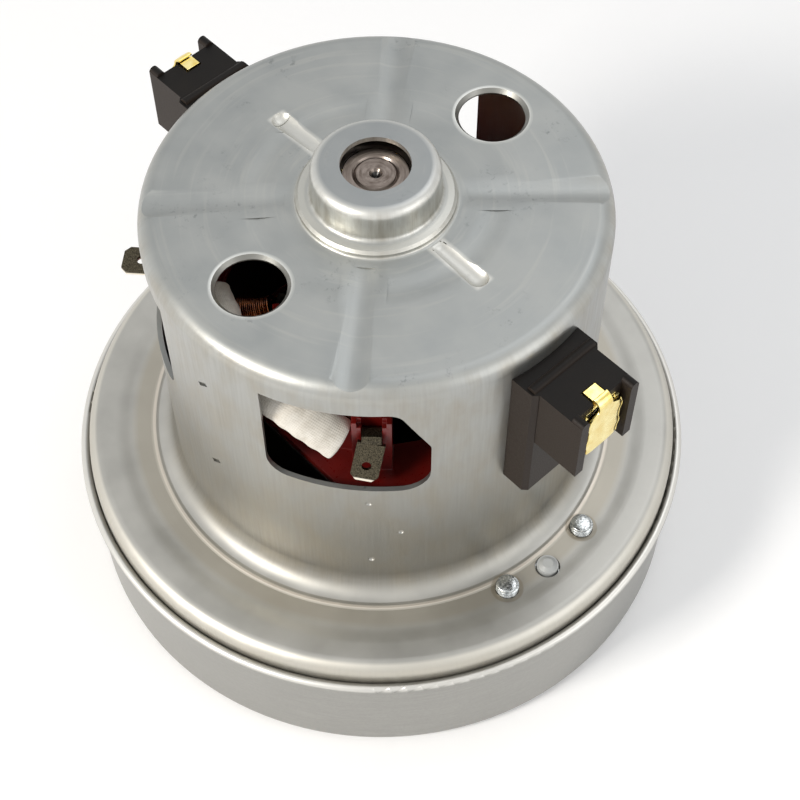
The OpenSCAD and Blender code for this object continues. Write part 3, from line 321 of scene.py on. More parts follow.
def tube_grid(path, side, across, along_side, count):
    """Rings round a path: p + across cos(t) a + along_side sin(t) b, a and b square to it."""
    heading = unit_rows(np.gradient(path, axis=0))
    a = unit_rows(side - np.sum(side * heading, -1, keepdims=True) * heading)
    b = np.cross(heading, a)
    t = np.linspace(0, 2 * np.pi, count, endpoint=False)
    return path[:, None] + across * np.cos(t)[None, :, None] * a[:, None] \
        + along_side * np.sin(t)[None, :, None] * b[:, None]


def outward(obj):
    """Turn every face of a closed piece to point outwards."""
    work = bmesh.new()
    work.from_mesh(obj.data)
    bmesh.ops.recalc_face_normals(work, faces=work.faces)
    work.to_mesh(obj.data)
    work.free()
    return obj


def sweep(name, path, side, radius, count):
    """A closed tube of one radius along a path."""
    grid = tube_grid(path, side, radius, radius, count)
    return outward(surface(name, grid, close_columns=True, caps=True))


print("the unit vector along (3, 4, 0):", unit_rows(np.array([3.0, 4.0, 0.0])))

# %% [markdown]
# ## Patterns round the shaft
# Tools that turn or draw a piece leave marks that follow its axis: rings on a flat face,
# lines up a wall. Noise makes both, once its coordinates are the radius or the direction
# from the shaft. The direction is a unit vector, so the pattern has no seam behind.

# %% Patterns round the shaft
def round_coords(tree, coords):
    """Name y, z, the distance from the shaft, and the direction from it, (x/r, y/r)."""
    place = coords.outputs["Object"]
    split = add(tree, "ShaderNodeSeparateXYZ", None, {0: place}).outputs
    flat = add(tree, "ShaderNodeCombineXYZ", None, {0: split[0], 1: split[1]}).outputs[0]
    radius = add(tree, "ShaderNodeVectorMath", {"operation": "LENGTH"}, {0: flat})
    outer = add(tree, "ShaderNodeVectorMath", {"operation": "NORMALIZE"}, {0: flat})
    turn = add(tree, "ShaderNodeSeparateXYZ", None, {0: outer.outputs[0]}).outputs
    return {"y": split[1], "z": split[2], "radius": radius.outputs["Value"],
        "turn_x": turn[0], "turn_y": turn[1]}


def stretched_noise(tree, values, stretch, detail):
    """Noise over three values, each times its own stretch."""
    joined = add(tree, "ShaderNodeCombineXYZ", None, dict(enumerate(values)))
    vector = add(tree, "ShaderNodeVectorMath", {"operation": "MULTIPLY", 1: stretch},
        {0: joined.outputs[0]})
    return add(tree, "ShaderNodeTexNoise", {"Scale": 1.0, "Detail": detail,
        "Roughness": 0.55}, {"Vector": vector.outputs[0]}).outputs[0]


def wall_grain(tree, at, cells, along_mm):
    """Lines up a round wall: noise over (x/r, y/r) times cells and over z at along_mm."""
    return stretched_noise(tree, (at["turn_x"], at["turn_y"], at["z"]),
        (cells, cells, 1 / (along_mm * MM)), 3.0)


def ring_grain(tree, at, ring_mm):
    """Rings round the shaft: noise over the radius at ring_mm, and a little over the turn."""
    return stretched_noise(tree, (at["radius"], at["turn_x"], at["turn_y"]),
        (1 / (ring_mm * MM), 1.5, 1.5), 2.0)


def upward(tree, coords):
    """The z of the surface's normal: 1 on a flat top and 0 on a wall."""
    return add(tree, "ShaderNodeSeparateXYZ", None, {0: coords.outputs["Normal"]}).outputs[2]


def nearest_spot(tree, coords, spots_mm):
    """The distance from each point of the surface to the nearest of some spots."""
    gaps = [add(tree, "ShaderNodeVectorMath", {"operation": "DISTANCE",
        1: [v * MM for v in spot]}, {0: coords.outputs["Object"]}).outputs["Value"]
        for spot in spots_mm]
    near = gaps[0]
    for gap in gaps[1:]:
        near = add(tree, "ShaderNodeMath", {"operation": "MINIMUM"}, {0: near, 1: gap}).outputs[0]
    return near


def on_flange(angle, radius):
    """A spot on the flange, at an angle in degrees and a radius in mm."""
    turn = math.radians(angle)
    return radius * math.cos(turn), radius * math.sin(turn), FLANGE_SPOT_Z


screw_angles = [side + SCREW_TURN + s * SCREW_SPREAD for side in SIDES for s in (-1, 1)]
print("screws at", [round(a, 1) for a in screw_angles])

# %% [markdown]
# ## Zinc-plated drawn steel
# The can is deep-drawn from sheet that was zinc plated: a cool grey, satin to matt metal.
# The flat top keeps the bluish plating with dark handling marks, and faint tool rings
# run round the boss. The wall was ironed as it was drawn, which leaves fine vertical
# lines and a warmer tone. An image would slide in other views, so it is all computed.

# %% Material: zinc-plated can
def can_tones(tree, coords, at, on_top, clouds, lines, rings):
    """The tone of the wall, and over it that of the top plate, the boss and the flange."""
    z, radius = at["z"], at["radius"]
    blots = wall_grain(tree, at, CAN_R / 5, 9)
    wall = lay(tree, "#96948D", "#A9AAA7", 1.0, (z, 34 * MM, 95 * MM))
    # Painted highlight: from 97 mm up the wall is painted pale, over the top's rounded edge and
    # the boss's side
    wall = lay(tree, wall, "#CFCFC9", 1.0, (z, 97 * MM, 101 * MM))
    wall = lay(tree, wall, "#9C9586", 0.55, (blots, 0.4, 0.7))
    wall = lay(tree, wall, "#86827A", 0.15, (lines, 0.3, 0.7))
    top = lay(tree, "#919493", "#9B9D9B", 1.0, (clouds, 0.35, 0.65))
    top = lay(tree, top, "#A8A8A3", 0.35, (rings, 0.55, 0.72))
    # Handling marks: 1.5 mm specks kept to a few 12 mm patches
    specks, patches = (add(tree, "ShaderNodeTexNoise", {"Scale": scale, "Detail": detail,
        "Roughness": rough}, {"Vector": coords.outputs["Object"]}).outputs[0]
        for scale, detail, rough in ((700, 5.0, 0.7), (75, 2.0, 0.55)))
    top = lay(tree, top, "#5B6062", 0.62, (specks, 0.56, 0.70), (patches, 0.53, 0.66))
    # The boss's flat end is darker than the plate below it
    top = lay(tree, top, "#83878A", 0.4, *band(radius, 0, 10.3, 0.9),
        (z, (BOSS_TOP - 1.1) * MM, (BOSS_TOP - 0.5) * MM))
    # The flange under the can is warmer, and tan where grease gathered beside the flare
    flange = lay(tree, "#A5A49F", "#B1B0AB", 1.0, (clouds, 0.35, 0.65))
    flange = lay(tree, flange, "#A09887", 0.5, *band(radius, 49.6, 52.5, 1.6))
    top = lay(tree, flange, top, 1.0, (z, 40 * MM, 50 * MM))
    return lay(tree, wall, top, 1.0, on_top)


def drawn_can_steel():
    """Zinc-plated sheet, deep drawn: satin, cool on top and warmer down the wall."""
    material, tree, shader, coords = start_material("zinc_plated_drawn_sheet", Metallic=0.88)
    at = round_coords(tree, coords)
    z, radius = at["z"], at["radius"]
    facing = upward(tree, coords)
    on_top, on_slope = (facing, 0.55, 0.97), (facing, 0.97, 0.55)
    # 11 mm clouds in the plating, and ironing lines drawn 0.5 mm wide to show
    clouds = add(tree, "ShaderNodeTexNoise", {"Scale": 90, "Detail": 3.0, "Roughness": 0.55},
        {"Vector": coords.outputs["Object"]}).outputs[0]
    lines = wall_grain(tree, at, CAN_R / 0.5, 14)
    rings = ring_grain(tree, at, 1.4)
    hole = nearest_spot(tree, coords, [(0, s * HOLE_AT, PLATE_TOP - 0.1) for s in (-1, 1)])
    aside = add(tree, "ShaderNodeMath", {"operation": "ABSOLUTE"}, {0: at["y"]}).outputs[0]
    screw = nearest_spot(tree, coords, [on_flange(a, SCREW_AT) for a in screw_angles])
    peg = nearest_spot(tree, coords, [on_flange(side + PEG_TURN, PEG_AT) for side in SIDES])
    tone = can_tones(tree, coords, at, on_top, clouds, lines, rings)
    # In turn: a painted highlight round each hole and painted shade on the hole's wall; painted
    # highlights on the boss's shoulder and its ledge, along the short ribs, on the flare's outer
    # ridge and on the flange's shoulder; a tan halo of grease round each screw, and the dark gap
    # of each peg
    for colour, amount, *ramps in (
            # Painted highlight on the flat round each hole
            ("#D6D7D2", 0.7, *band(hole, 6.6, 7.1, 0.7), on_top),
            # Painted shade on the hole's sloping wall
            ("#504E48", 0.85, (hole, 7.7 * MM, 7.3 * MM), on_slope),
            # Painted highlight on the boss's rounded shoulder
            ("#E2E1DC", 0.35, *band(radius, 10.8, 12.2, 0.8), (z, 105 * MM, 106.4 * MM)),
            # Painted highlight on the rounded ledge by the boss
            ("#DAD7CC", 0.35, *band(radius, 13.3, 14.9, 0.9), (z, 98.8 * MM, 99.4 * MM)),
            # Painted highlight along the short ribs
            ("#E4E2DA", 0.42, *band(radius, 15.8, 28.0, 0.6), (aside, 2.3 * MM, 1.6 * MM)),
            # Painted highlight on the flare's outer ridge
            ("#DCD3C6", 0.6, *band(radius, 48.9, 49.2, 0.35)),
            # Painted highlight on the flange's rounded shoulder
            ("#DEDACF", 0.5, *band(radius, 61.9, 63.2, 0.6)),
            ("#8C8270", 0.55, *band(screw, 2.3, 3.2, 0.25)),
            ("#4B463E", 0.8, *band(peg, 2.1, 2.5, 0.2))):
        tone = lay(tree, tone, colour, amount, *ramps)
    # The wall is ironed smooth, the flare at its foot is duller, and the top is satin
    rough = stack(tree, (0.30, on_slope), (0.12, on_slope, (lines, 0.3, 0.7)),
        (0.12, on_slope, (z, 46 * MM, 36 * MM)), (0.42, on_top),
        (0.10, on_top, (clouds, 0.3, 0.7)))
    # Heights in units of 0.35 mm: a rolled hole edge, the ridge, the rounded ledge, and a
    # fine grain of lines and rings
    relief = stack(tree, (1.0, (hole, 6.4 * MM, 7.6 * MM)), (0.7, *band(radius, 48.7, 49.2, 0.6)),
        (1.2, (radius, 14.7 * MM, 12.9 * MM)), (0.06, on_slope, (lines, 0, 1)),
        (0.06, on_top, (rings, 0, 1)))
    finish_shader(tree, shader, tone, rough, relief, 0.35, 0.8)
    return material


can_steel = drawn_can_steel()
print("can finish:", can_steel.name)

# %% [markdown]
# ## The casing's steel
# The casing is the same plated sheet, rolled instead of drawn, so its grain runs round
# it. The top of its rolled rim carries a painted highlight.

# %% Material: zinc-plated casing
def casing_steel():
    """Zinc-plated sheet of the fan casing: smooth satin, rolled along its rim."""
    material, tree, shader, coords = start_material("zinc_plated_casing_sheet", Metallic=0.88)
    at = round_coords(tree, coords)
    grain = wall_grain(tree, at, 9, 0.6)
    fine = add(tree, "ShaderNodeTexNoise", {"Scale": 1500, "Detail": 2.0, "Roughness": 0.55},
        {"Vector": coords.outputs["Object"]}).outputs[0]
    tone = lay(tree, "#999894", "#A6A5A1", 1.0, (grain, 0.3, 0.7))
    tone = lay(tree, tone, "#8E8D88", 0.25, (fine, 0.4, 0.7))
    # Painted highlight along the top of the rolled rim
    tone = lay(tree, tone, "#E3E1DB", 0.7, *band(at["radius"], 64.6, 65.5, 0.3),
        (at["z"], 26.5 * MM, 27.0 * MM))
    rough = stack(tree, (0.36,), (0.10, (grain, 0.3, 0.7)))
    finish_shader(tree, shader, tone, rough, grain, 0.03, 0.3)
    return material


fan_steel = casing_steel()
print("casing finish:", fan_steel.name)

# %% [markdown]
# ## The other metals
# Screws, shaft and bearings are ground or plated steel, the tabs are tinned, and the
# brush gear is stamped brass. Copper wire wears a brown-red enamel, which is a clear
# coat over the metal. Each gets its own grain at the size that the real process leaves.

# %% Materials: other metals
def grained(name, dark, light, grain_mm, rough, depth_mm=0.02, coat=0.0):
    """A metal whose tone and roughness vary together with one noise of grain_mm."""
    material, tree, shader, coords = start_material(name, Metallic=1.0, Coat_Weight=coat)
    grain = add(tree, "ShaderNodeTexNoise", {"Scale": 1 / (grain_mm * MM), "Detail": 3.0,
        "Roughness": 0.55}, {"Vector": coords.outputs["Object"]}).outputs[0]
    tone = lay(tree, dark, light, 1.0, (grain, 0.3, 0.7))
    roughness = stack(tree, (rough - 0.06,), (0.14, (grain, 0.3, 0.7)))
    finish_shader(tree, shader, tone, roughness, grain, depth_mm, 0.35)
    return material


def turned(name, dark, light, ring_mm, rough):
    """A metal turned on a lathe or ground: rings round the shaft, ring_mm apart."""
    material, tree, shader, coords = start_material(name)
    at = round_coords(tree, coords)
    rings = ring_grain(tree, at, ring_mm)
    # Painted shade: the centre hole in a shaft's end is painted near black, with no metal
    outside_centre_hole = (at["radius"], 0.75 * MM, 0.95 * MM)
    tone = lay(tree, "#14100E", lay(tree, dark, light, 1.0, (rings, 0.3, 0.7)), 1.0, outside_centre_hole)
    tree.links.new(where(tree, 1.0, outside_centre_hole), shader.inputs["Metallic"])
    finish_shader(tree, shader, tone, where(tree, rough), rings, 0.03, 0.4)
    return material


# Zinc on rolled threads stays bright, with a spangle of about half a millimetre
screw_zinc = grained("bright_zinc_plated_steel", "#7D8284", "#DCDFDE", 0.45, 0.2, 0.12)
# Pressed brass keeps a strong pale yellow with soft 2 mm clouds
pressed_brass = grained("stamped_brass", "#E6CC74", "#F8EBAA", 2.0, 0.22)
# Ground steel of shaft and rings, slightly brown where it is seen in the boss
ground_steel = turned("ground_bearing_steel", "#655B54", "#8F857E", 0.5, 0.3)
# Stacked electrical sheet, 0.5 mm thick and lacquered dark
stacked_sheet = grained("lacquered_electrical_sheet", "#24211F", "#3A3633", 0.5, 0.5)
# Rolled aluminium sheet of the impeller
rolled_alloy = turned("rolled_aluminium_sheet", "#9A9DA0", "#B6B9BB", 0.9, 0.34)
# Enamelled wire: copper under a brown-red clear coat
wire_enamel = grained("enamelled_copper_wire", "#6A2A12", "#D07A3A", 3.0, 0.2, 0.01, 0.6)
# Bare drawn copper of the commutator bars
bare_copper = turned("turned_copper", "#A9583A", "#C87B55", 0.4, 0.3)
print("metals ready")

# %% [markdown]
# ## Tinned tabs
# The push-on tabs are punched from tin-plated strip, which has gone dull and dark. The
# last half millimetre of the strip is painted pale, a painted highlight on its end. The
# strip's far end is found from the imported mesh, so the painted highlight stays with it.

# %% Material: tinned strip
def mesh_points(mesh):
    """The corners of a mesh as an array with one row for each."""
    points = np.zeros(len(mesh.vertices) * 3, np.float32)
    mesh.vertices.foreach_get("co", points)
    return points.reshape(-1, 3).astype(float)


def tinned_strip(name, node, axis):
    """Tin-plated strip: dull and flecked at 0.25 mm, with a painted highlight at its end along its
    axis.
    """
    material, tree, shader, coords = start_material(name, Metallic=1.0)
    place = coords.outputs["Object"]
    grain = add(tree, "ShaderNodeTexNoise", {"Scale": 1 / (0.25 * MM), "Detail": 4.0,
        "Roughness": 0.7}, {"Vector": place}).outputs[0]
    tip = float(np.max(mesh_points(nodes[node].data) @ np.array(axis)))
    along = add(tree, "ShaderNodeVectorMath", {"operation": "DOT_PRODUCT", 1: axis},
        {0: place}).outputs["Value"]
    tone = lay(tree, "#2A2721", "#625B4B", 1.0, (grain, 0.38, 0.62))
    # Painted highlight: the strip's last half millimetre is painted pale
    tone = lay(tree, tone, "#EEE6D6", 1.0, (along, tip - 0.55 * MM, tip - 0.35 * MM))
    rough = stack(tree, (0.30,), (0.16, (grain, 0.3, 0.7)))
    finish_shader(tree, shader, tone, rough, grain, 0.02, 0.35)
    return material


front_tin = tinned_strip("tin_plated_front_tab", "terminal_front", (0.1436, -0.4096, -0.9009))
side_tin = tinned_strip("tin_plated_side_tab", "terminal_side", (0, 0, -1))
print("tabs:", front_tin.name, side_tin.name)

# %% [markdown]
# ## Plastics and carbon
# The brush housings are black moulded resin with a fine spark texture, and a painted brown sheen
# on their upright faces.
# The coil frames are a glossy, deep red resin, which glows where light reaches it.

# %% Materials: plastics and carbon
def moulded(name, dark, light, grain_mm, rough, depth_mm=0.03, coat=0.0, shine=0.5, side=None):
    """Moulded resin: a fine texture of grain_mm; side is a painted sheen, a second tone for
    upright faces.
    """
    material, tree, shader, coords = start_material(name, Coat_Weight=coat, IOR=1.5,
        Specular_IOR_Level=shine)
    grain, clouds = (add(tree, "ShaderNodeTexNoise", {"Scale": scale, "Detail": detail,
        "Roughness": blend}, {"Vector": coords.outputs["Object"]}).outputs[0]
        for scale, detail, blend in ((1 / (grain_mm * MM), 3.0, 0.6), (120, 2.0, 0.55)))
    tone = lay(tree, dark, light, 1.0, (clouds, 0.3, 0.7))
    # Painted sheen: upright faces take the side tone, flat tops the darker one
    if side:
        tone = lay(tree, side, tone, 1.0, (upward(tree, coords), 0.55, 0.97))
    roughness = stack(tree, (rough - 0.06,), (0.14, (grain, 0.3, 0.7)))
    finish_shader(tree, shader, tone, roughness, grain, depth_mm, 0.4)
    return material


# The housings' upright faces get a painted brown sheen
black_resin = moulded("moulded_black_phenolic_resin", "#090706", "#130F0B", 0.3, 0.48,
    shine=0.16, side="#2B241F")
red_resin = moulded("moulded_red_polyester_resin", "#4E0906", "#6A0F0A", 0.6, 0.32, 0.02, 0.1)
grey_resin = moulded("moulded_light_grey_nylon", "#9FA1A0", "#B2B4B2", 0.5, 0.45)
# Pressed carbon is a dull black with fine bright graphite flecks
pressed_carbon = moulded("pressed_electrographite", "#17171A", "#35353A", 0.2, 0.5)
print("resins ready")

# %% [markdown]
# ## Woven fibre and the paper floor
# The sleeve is woven glass fibre, dipped in cream varnish, and its weave follows its UV
# map. The floor is matt white paper that keeps only a soft shadow. A little light is added
# for camera and mirror rays, and more of it further from the motor, where the lamps fade,
# so that the paper runs into the white.

# %% Materials: fibre and paper
def woven_fibre(threads, crossing_mm):
    """Braided sleeve: two sets of threads cross, sin(nu + mv) sin(nu - mv) over its UV. There
    are threads each way round it, and v is in metres, with one crossing each crossing_mm."""
    material, tree, shader, coords = start_material("woven_varnished_glass_fibre",
        Sheen_Weight=0.3)
    waves = []
    for way in (1, -1):
        rates = (2 * math.pi * threads, way * 2 * math.pi / (crossing_mm * MM), 0)
        phase = add(tree, "ShaderNodeVectorMath", {"operation": "DOT_PRODUCT", 1: rates},
            {0: coords.outputs["UV"]}).outputs["Value"]
        waves.append(add(tree, "ShaderNodeMath", {"operation": "SINE"}, {0: phase}).outputs[0])
    weave = add(tree, "ShaderNodeMath", {"operation": "MULTIPLY"},
        {0: waves[0], 1: waves[1]}).outputs[0]
    clouds = add(tree, "ShaderNodeTexNoise", {"Scale": 420, "Detail": 4.0, "Roughness": 0.65},
        {"Vector": coords.outputs["Object"]}).outputs[0]
    tone = lay(tree, "#D3CCBF", "#E9E4DA", 1.0, (clouds, 0.35, 0.65))
    tone = lay(tree, tone, "#C0B8A9", 0.35, (weave, -0.2, -1))
    relief = stack(tree, (1.0, (weave, -1, 1)), (0.5, (clouds, 0, 1)))
    finish_shader(tree, shader, tone, where(tree, 0.72), relief, 0.1, 0.55)
    return material


def pale_floor():
    """Matt white paper; its own light grows from 0.1 at 0.2 m from the shaft to 0.62 at 1 m."""
    material, tree, shader, coords = start_material("matt_white_paper", Roughness=0.9)
    fibre = add(tree, "ShaderNodeTexNoise", {"Scale": 400, "Detail": 3.0, "Roughness": 0.55},
        {"Vector": coords.outputs["Object"]}).outputs[0]
    tree.links.new(lay(tree, "#F6F6F6", "#FAFAFA", 1.0, (fibre, 0, 1)),
        shader.inputs["Base Color"])
    shader.inputs["Emission Color"].default_value = tint("#FFFFFF")
    seen = (seen_directly(tree), 0, 1)
    far = (round_coords(tree, coords)["radius"], 0.2, 1.0)
    tree.links.new(stack(tree, (0.1, seen), (0.52, seen, far)), shader.inputs["Emission Strength"])
    return material


sleeve_fibre = woven_fibre(26, 0.8)
floor.data.materials.append(pale_floor())
print("fibre and paper:", sleeve_fibre.name, floor.data.materials[0].name)

# %% [markdown]
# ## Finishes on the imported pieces
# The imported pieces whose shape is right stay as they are. Each takes the finish that
# its real piece has, by assigning a material to its object.

# %% Assign finishes
finishes = {
    screw_zinc: ["bearing_bridge", "bearing_wave_washer", "impeller_inner_washer",
        "impeller_outer_washer", "impeller_nut", "impeller_spacer"],
    ground_steel: ["shaft"] + [f"{e}_bearing_{p}" for e in ("upper", "lower")
        for p in ("outer_ring", "inner_ring", "shields")],
    pressed_brass: ["upper_bearing_balls", "lower_bearing_balls"],
    stacked_sheet: ["stator_core", "armature_core"],
    rolled_alloy: ["impeller_back_plate", "impeller_blades", "impeller_front_plate"],
    bare_copper: ["commutator_bars"],
    wire_enamel: ["armature_winding"],
    black_resin: ["commutator_hub"],
    red_resin: ["lower_coil_frame"],
    grey_resin: ["diffuser"],
    pressed_carbon: ["carbon_brush_a", "carbon_brush_b"]}


def dress(obj, material):
    """Give an object one material in its first slot."""
    obj.data.materials.clear()
    obj.data.materials.append(material)


for material, names in finishes.items():
    for name in names:
        dress(nodes[name], material)
print("dressed:", sum(len(n) for n in finishes.values()), "packed pieces")

# %% [markdown]
# ## Field coils of fine wire
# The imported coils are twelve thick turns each. Real ones have well over a hundred turns
# of wire about 0.4 mm thick. The same winding rule is kept: a turn is a
# rounded rectangle bent round the pole, and each layer goes out and comes back. One
# continuous path is swept with a small ring, which is lighter than separate hoops.

# %% Field coils
TURNS_IN_LAYER, LAYERS, POINTS_IN_TURN = 24, 8, 56
WIRE_R = 0.19


def winding_path():
    """Angle, radius and height of a wire wound in layers.
    A turn is a rectangle of half width w and half height h with corners of radius c plus
    the layer's offset, and its width is measured along an arc of arc_r. The radius grows
    evenly through a layer and shrinks through the next. The wire climbs to the next layer
    over the last share of its own, which is climb."""
    first_r, depth, arc_r = 22.05, 9.5, 22.3
    half_w, half_h, corner = 14.79, 13.6, 3.0
    first_offset, pile, climb = -0.55, 5.5, 0.03
    soften = 9.0
    k = np.arange(TURNS_IN_LAYER * LAYERS * POINTS_IN_TURN)
    turn = k / POINTS_IN_TURN
    layer = np.minimum(LAYERS - 1, np.floor(turn / TURNS_IN_LAYER))
    share = turn / TURNS_IN_LAYER - layer
    radius = first_r + depth * np.where(layer % 2 == 0, share, 1 - share)
    offset = first_offset + pile * (layer + np.clip((share - 1 + climb) / climb, 0, 1)) / LAYERS
    s = 2 * np.pi * (k % POINTS_IN_TURN) / POINTS_IN_TURN
    # A rounded rectangle: the corner's centre follows the sign of each wave
    p, q, r = np.sin(s), -np.cos(s), corner + offset
    across = (half_w - corner) * np.tanh(soften * p) / np.tanh(soften) + r * p
    height = (half_h - corner) * np.tanh(soften * q) / np.tanh(soften) + r * q
    return across / arc_r, radius, STACK_MIDDLE + height


def field_coil(name, node, turned_by, seed):
    """One coil: the winding path set round the pole on -Y, or turned to +Y. Wound wire is
    never quite even, so it strays by up to a tenth of a millimetre."""
    angle, radius, height = winding_path()
    loose = np.random.default_rng(seed).normal(0, 0.045, radius.shape)
    loose = np.convolve(loose, np.ones(9) / 9, "same") * 2.2
    radius, height = radius + loose, height + np.roll(loose, 400)
    outer = turned_by * np.stack([np.sin(angle), -np.cos(angle), 0 * angle], -1)
    path = outer * radius[:, None] + np.stack([0 * angle, 0 * angle, height], -1)
    coil = sweep(name, path * MM, outer, WIRE_R * MM, 5)
    dress(coil, wire_enamel)
    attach(coil, "frame")
    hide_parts(node)
    return coil


coils = [field_coil("field_coil_front_wires", "field_coil_front", 1, 11),
    field_coil("field_coil_rear_wires", "field_coil_rear", -1, 12)]
print("coil faces:", [len(c.data.polygons) for c in coils])

# %% [markdown]
# ## The woven sleeve
# A soft sleeve covers the joint between coil wire and lead. It lies from the front tower
# over the coil head. It is pressed flat towards its square-cut end, like a strap. A tube
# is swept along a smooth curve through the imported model's points and a little further,
# and it has a bore.

# %% Sleeve
SLEEVE_START = -53.4
SLEEVE_WALL = 0.7
RING_POINTS = 40
steps = np.array([0, 3.2, 7, 10.5, 14, 19.3, 25.8, 32.5, 39, 46, 51, 55.6])
inset = np.array([5.4, 5.4, 5.4, 5.4, 5.4, 5.6, 6.1, 7.2, 8.8, 10.6, 11.2, 11.8])
climb = np.array([10.6, 12.5, 14.5, 16.2, 17.6, 18.8, 20, 21.2, 22.2, 22.6, 22.8, 23])
flat = np.array([1, 1, 1, 1, 0.95, 0.85, 0.7, 0.5, 0.25, 0, 0, 0])
girth = np.array([3.1] * 10 + [2.8, 2.5])
turn_at = np.radians(SLEEVE_START - steps)
route = np.stack([(CAN_R - inset) * np.cos(turn_at), (CAN_R - inset) * np.sin(turn_at),
    FRAME_TOP + climb], -1)


def smooth_path(points, per_span):
    """Catmull-Rom curve: each span is the cubic that leaves a point along the line
    between its neighbours."""
    p = np.vstack([2 * points[0] - points[1], points, 2 * points[-1] - points[-2]])
    t = np.linspace(0, 1, per_span, endpoint=False)[None, :, None]
    a, b, c, d = (p[i:len(p) - 3 + i][:, None] for i in range(4))
    spans = 0.5 * (2 * b + (c - a) * t + (2 * a - 5 * b + 4 * c - d) * t ** 2
        + (3 * b - a - 3 * c + d) * t ** 3)
    return np.vstack([spans.reshape(-1, 3), points[-1:]])


def woven_sleeve(points, flattening, girth):
    """Oval rings down the route and back, so that the wall has thickness. At a girth g and a
    flattening f they are g + f high and g - f thick, from the middle, and lean inwards."""
    path = smooth_path(points, 8)
    inward = -unit_rows(path * [1, 1, 0])
    lean = 0.8 * inward + np.array([0, 0, 0.6])
    spot = np.linspace(0, len(points) - 1, len(path))
    f, g = (np.interp(spot, np.arange(len(points)), a) for a in (flattening, girth))
    length = np.concatenate([[0], np.cumsum(np.linalg.norm(np.diff(path, axis=0), axis=1))])
    ripple = 0.98 + 0.02 * np.sin(length * 1.9)
    high, thick = ((g + f) * ripple)[:, None, None], ((g - f) * ripple)[:, None, None]
    outer = tube_grid(path, lean, high, thick, RING_POINTS)
    inner = tube_grid(path, lean, high - SLEEVE_WALL, thick - SLEEVE_WALL, RING_POINTS)
    grid = np.concatenate([outer, inner[::-1]])
    v = np.concatenate([length, length[::-1]])[:, None] * MM
    u = np.linspace(0, 1, RING_POINTS, endpoint=False)[None]
    uv = np.stack(np.broadcast_arrays(u, v), -1)
    obj = surface("lead_sleeve_woven", grid * MM, close_columns=True, close_rows=True, uv=uv)
    return outward(obj), length[-1]


sleeve, sleeve_length = woven_sleeve(route, flat, girth)
dress(sleeve, sleeve_fibre)
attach(sleeve, "frame")
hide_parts("lead_sleeve")
print("sleeve length in mm:", round(float(sleeve_length), 1))

# %% [markdown]
# ## Softened edges
# Moulded and stamped pieces have small radii that catch a thin line of light. The packed
# mesh is loose triangles, so a copy is merged, its flat faces are joined again, and a
# Bevel modifier rounds the sharp edges. Rounding each edge in the source would add
# thousands of faces to solids that only need their main shape.

# %% Softened copies
def merged_copy(node):
    """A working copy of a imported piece's mesh, with its loose triangles joined up."""
    mesh = nodes[node].data.copy()
    stored = mesh.attributes.get("custom_normal")
    if stored:
        mesh.attributes.remove(stored)
    work = bmesh.new()
    work.from_mesh(mesh)
    bmesh.ops.remove_doubles(work, verts=work.verts, dist=0.002 * MM)
    return mesh, work


def place_copy(mesh, name, node, material):
    """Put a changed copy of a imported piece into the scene, in that piece's stead."""
    piece = bpy.data.objects.new(name, mesh)
    bpy.context.scene.collection.objects.link(piece)
    dress(piece, material)
    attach(piece, "frame")
    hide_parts(node)
    return piece


def softened(node, width_mm, material):
    """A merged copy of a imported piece, its sharp edges rounded by width_mm."""
    mesh, work = merged_copy(node)
    bmesh.ops.dissolve_limit(work, angle_limit=math.radians(0.6), verts=work.verts,
        edges=work.edges)
    work.to_mesh(mesh)
    work.free()
    mesh.polygons.foreach_set("use_smooth", np.zeros(len(mesh.polygons), bool))
    piece = place_copy(mesh, node + "_soft", node, material)
    bevel = piece.modifiers.new("edge_radius", "BEVEL")
    bevel.width, bevel.segments = width_mm * MM, 2
    bevel.limit_method, bevel.angle_limit = "ANGLE", math.radians(28)
    bevel.use_clamp_overlap, bevel.harden_normals = True, True
    return piece


soft = [softened("brush_housing_" + s, 0.28, black_resin) for s in "ab"]
soft += [softened("brush_tube_" + s, 0.08, pressed_brass) for s in "ab"]
soft += [softened("terminal_front", 0.14, front_tin),
    softened("terminal_side", 0.14, side_tin),
    softened("upper_coil_frame", 0.15, red_resin)]
print("softened:", [p.name for p in soft])

# %% [markdown]
# ## Short ribs pressed into the plate
# Two short ribs stiffen the plate beside the boss. On the real can a punch presses both
# faces of the sheet down. Here the plate is cut into a fine grid round each rib, and
# every point of it then moves down by the rib's own depth, as under the punch.

# %% Short ribs
RIB_START, RIB_END, RIB_R = 15.7, 26.3, 2.37
# The band of the plate that is cut free: its half width, and its near and far end
RIB_BAND, BAND_NEAR, BAND_FAR = 2.7, 15.0, 29.4
# The plate lies between two circles and two heights, and its faces either side of a third
PLATE_INNER, PLATE_OUTER = 15.45, 40
PLATE_LOW, BETWEEN_FACES, PLATE_HIGH = 97.6, 98.4, 99.1


def rib_depth(x, y):
    """Depth in mm of the short ribs: a round trough of radius RIB_R along X that deepens
    from 0.3 at its start to 1.1 at its end, where a ball ends it."""
    far = np.abs(x)
    share = np.clip((far - RIB_START) / (RIB_END - RIB_START), 0, 1)
    off = np.hypot(y, np.maximum(far - RIB_END, 0))
    trough = 0.3 + 0.8 * share - (RIB_R - np.sqrt(np.maximum(RIB_R ** 2 - off ** 2, 0)))
    return np.clip(far - 15.6, 0, 0.7) / 0.7 * np.clip(trough, 0, None) * (off < RIB_R)


def cut_grid(work, low, high, step, normal, plate):
    """Cut the faces that plate accepts by planes from low to high mm, square to normal."""
    for at in np.arange(low, high + step / 2, step):
        faces = [f for f in work.faces if plate(f.calc_center_median() / MM)]
        geometry = faces + list({e for f in faces for e in f.edges}) \
            + list({v for f in faces for v in f.verts})
        bmesh.ops.bisect_plane(work, geom=geometry, dist=1e-7,
            plane_co=Vector(normal) * float(at) * MM, plane_no=normal)


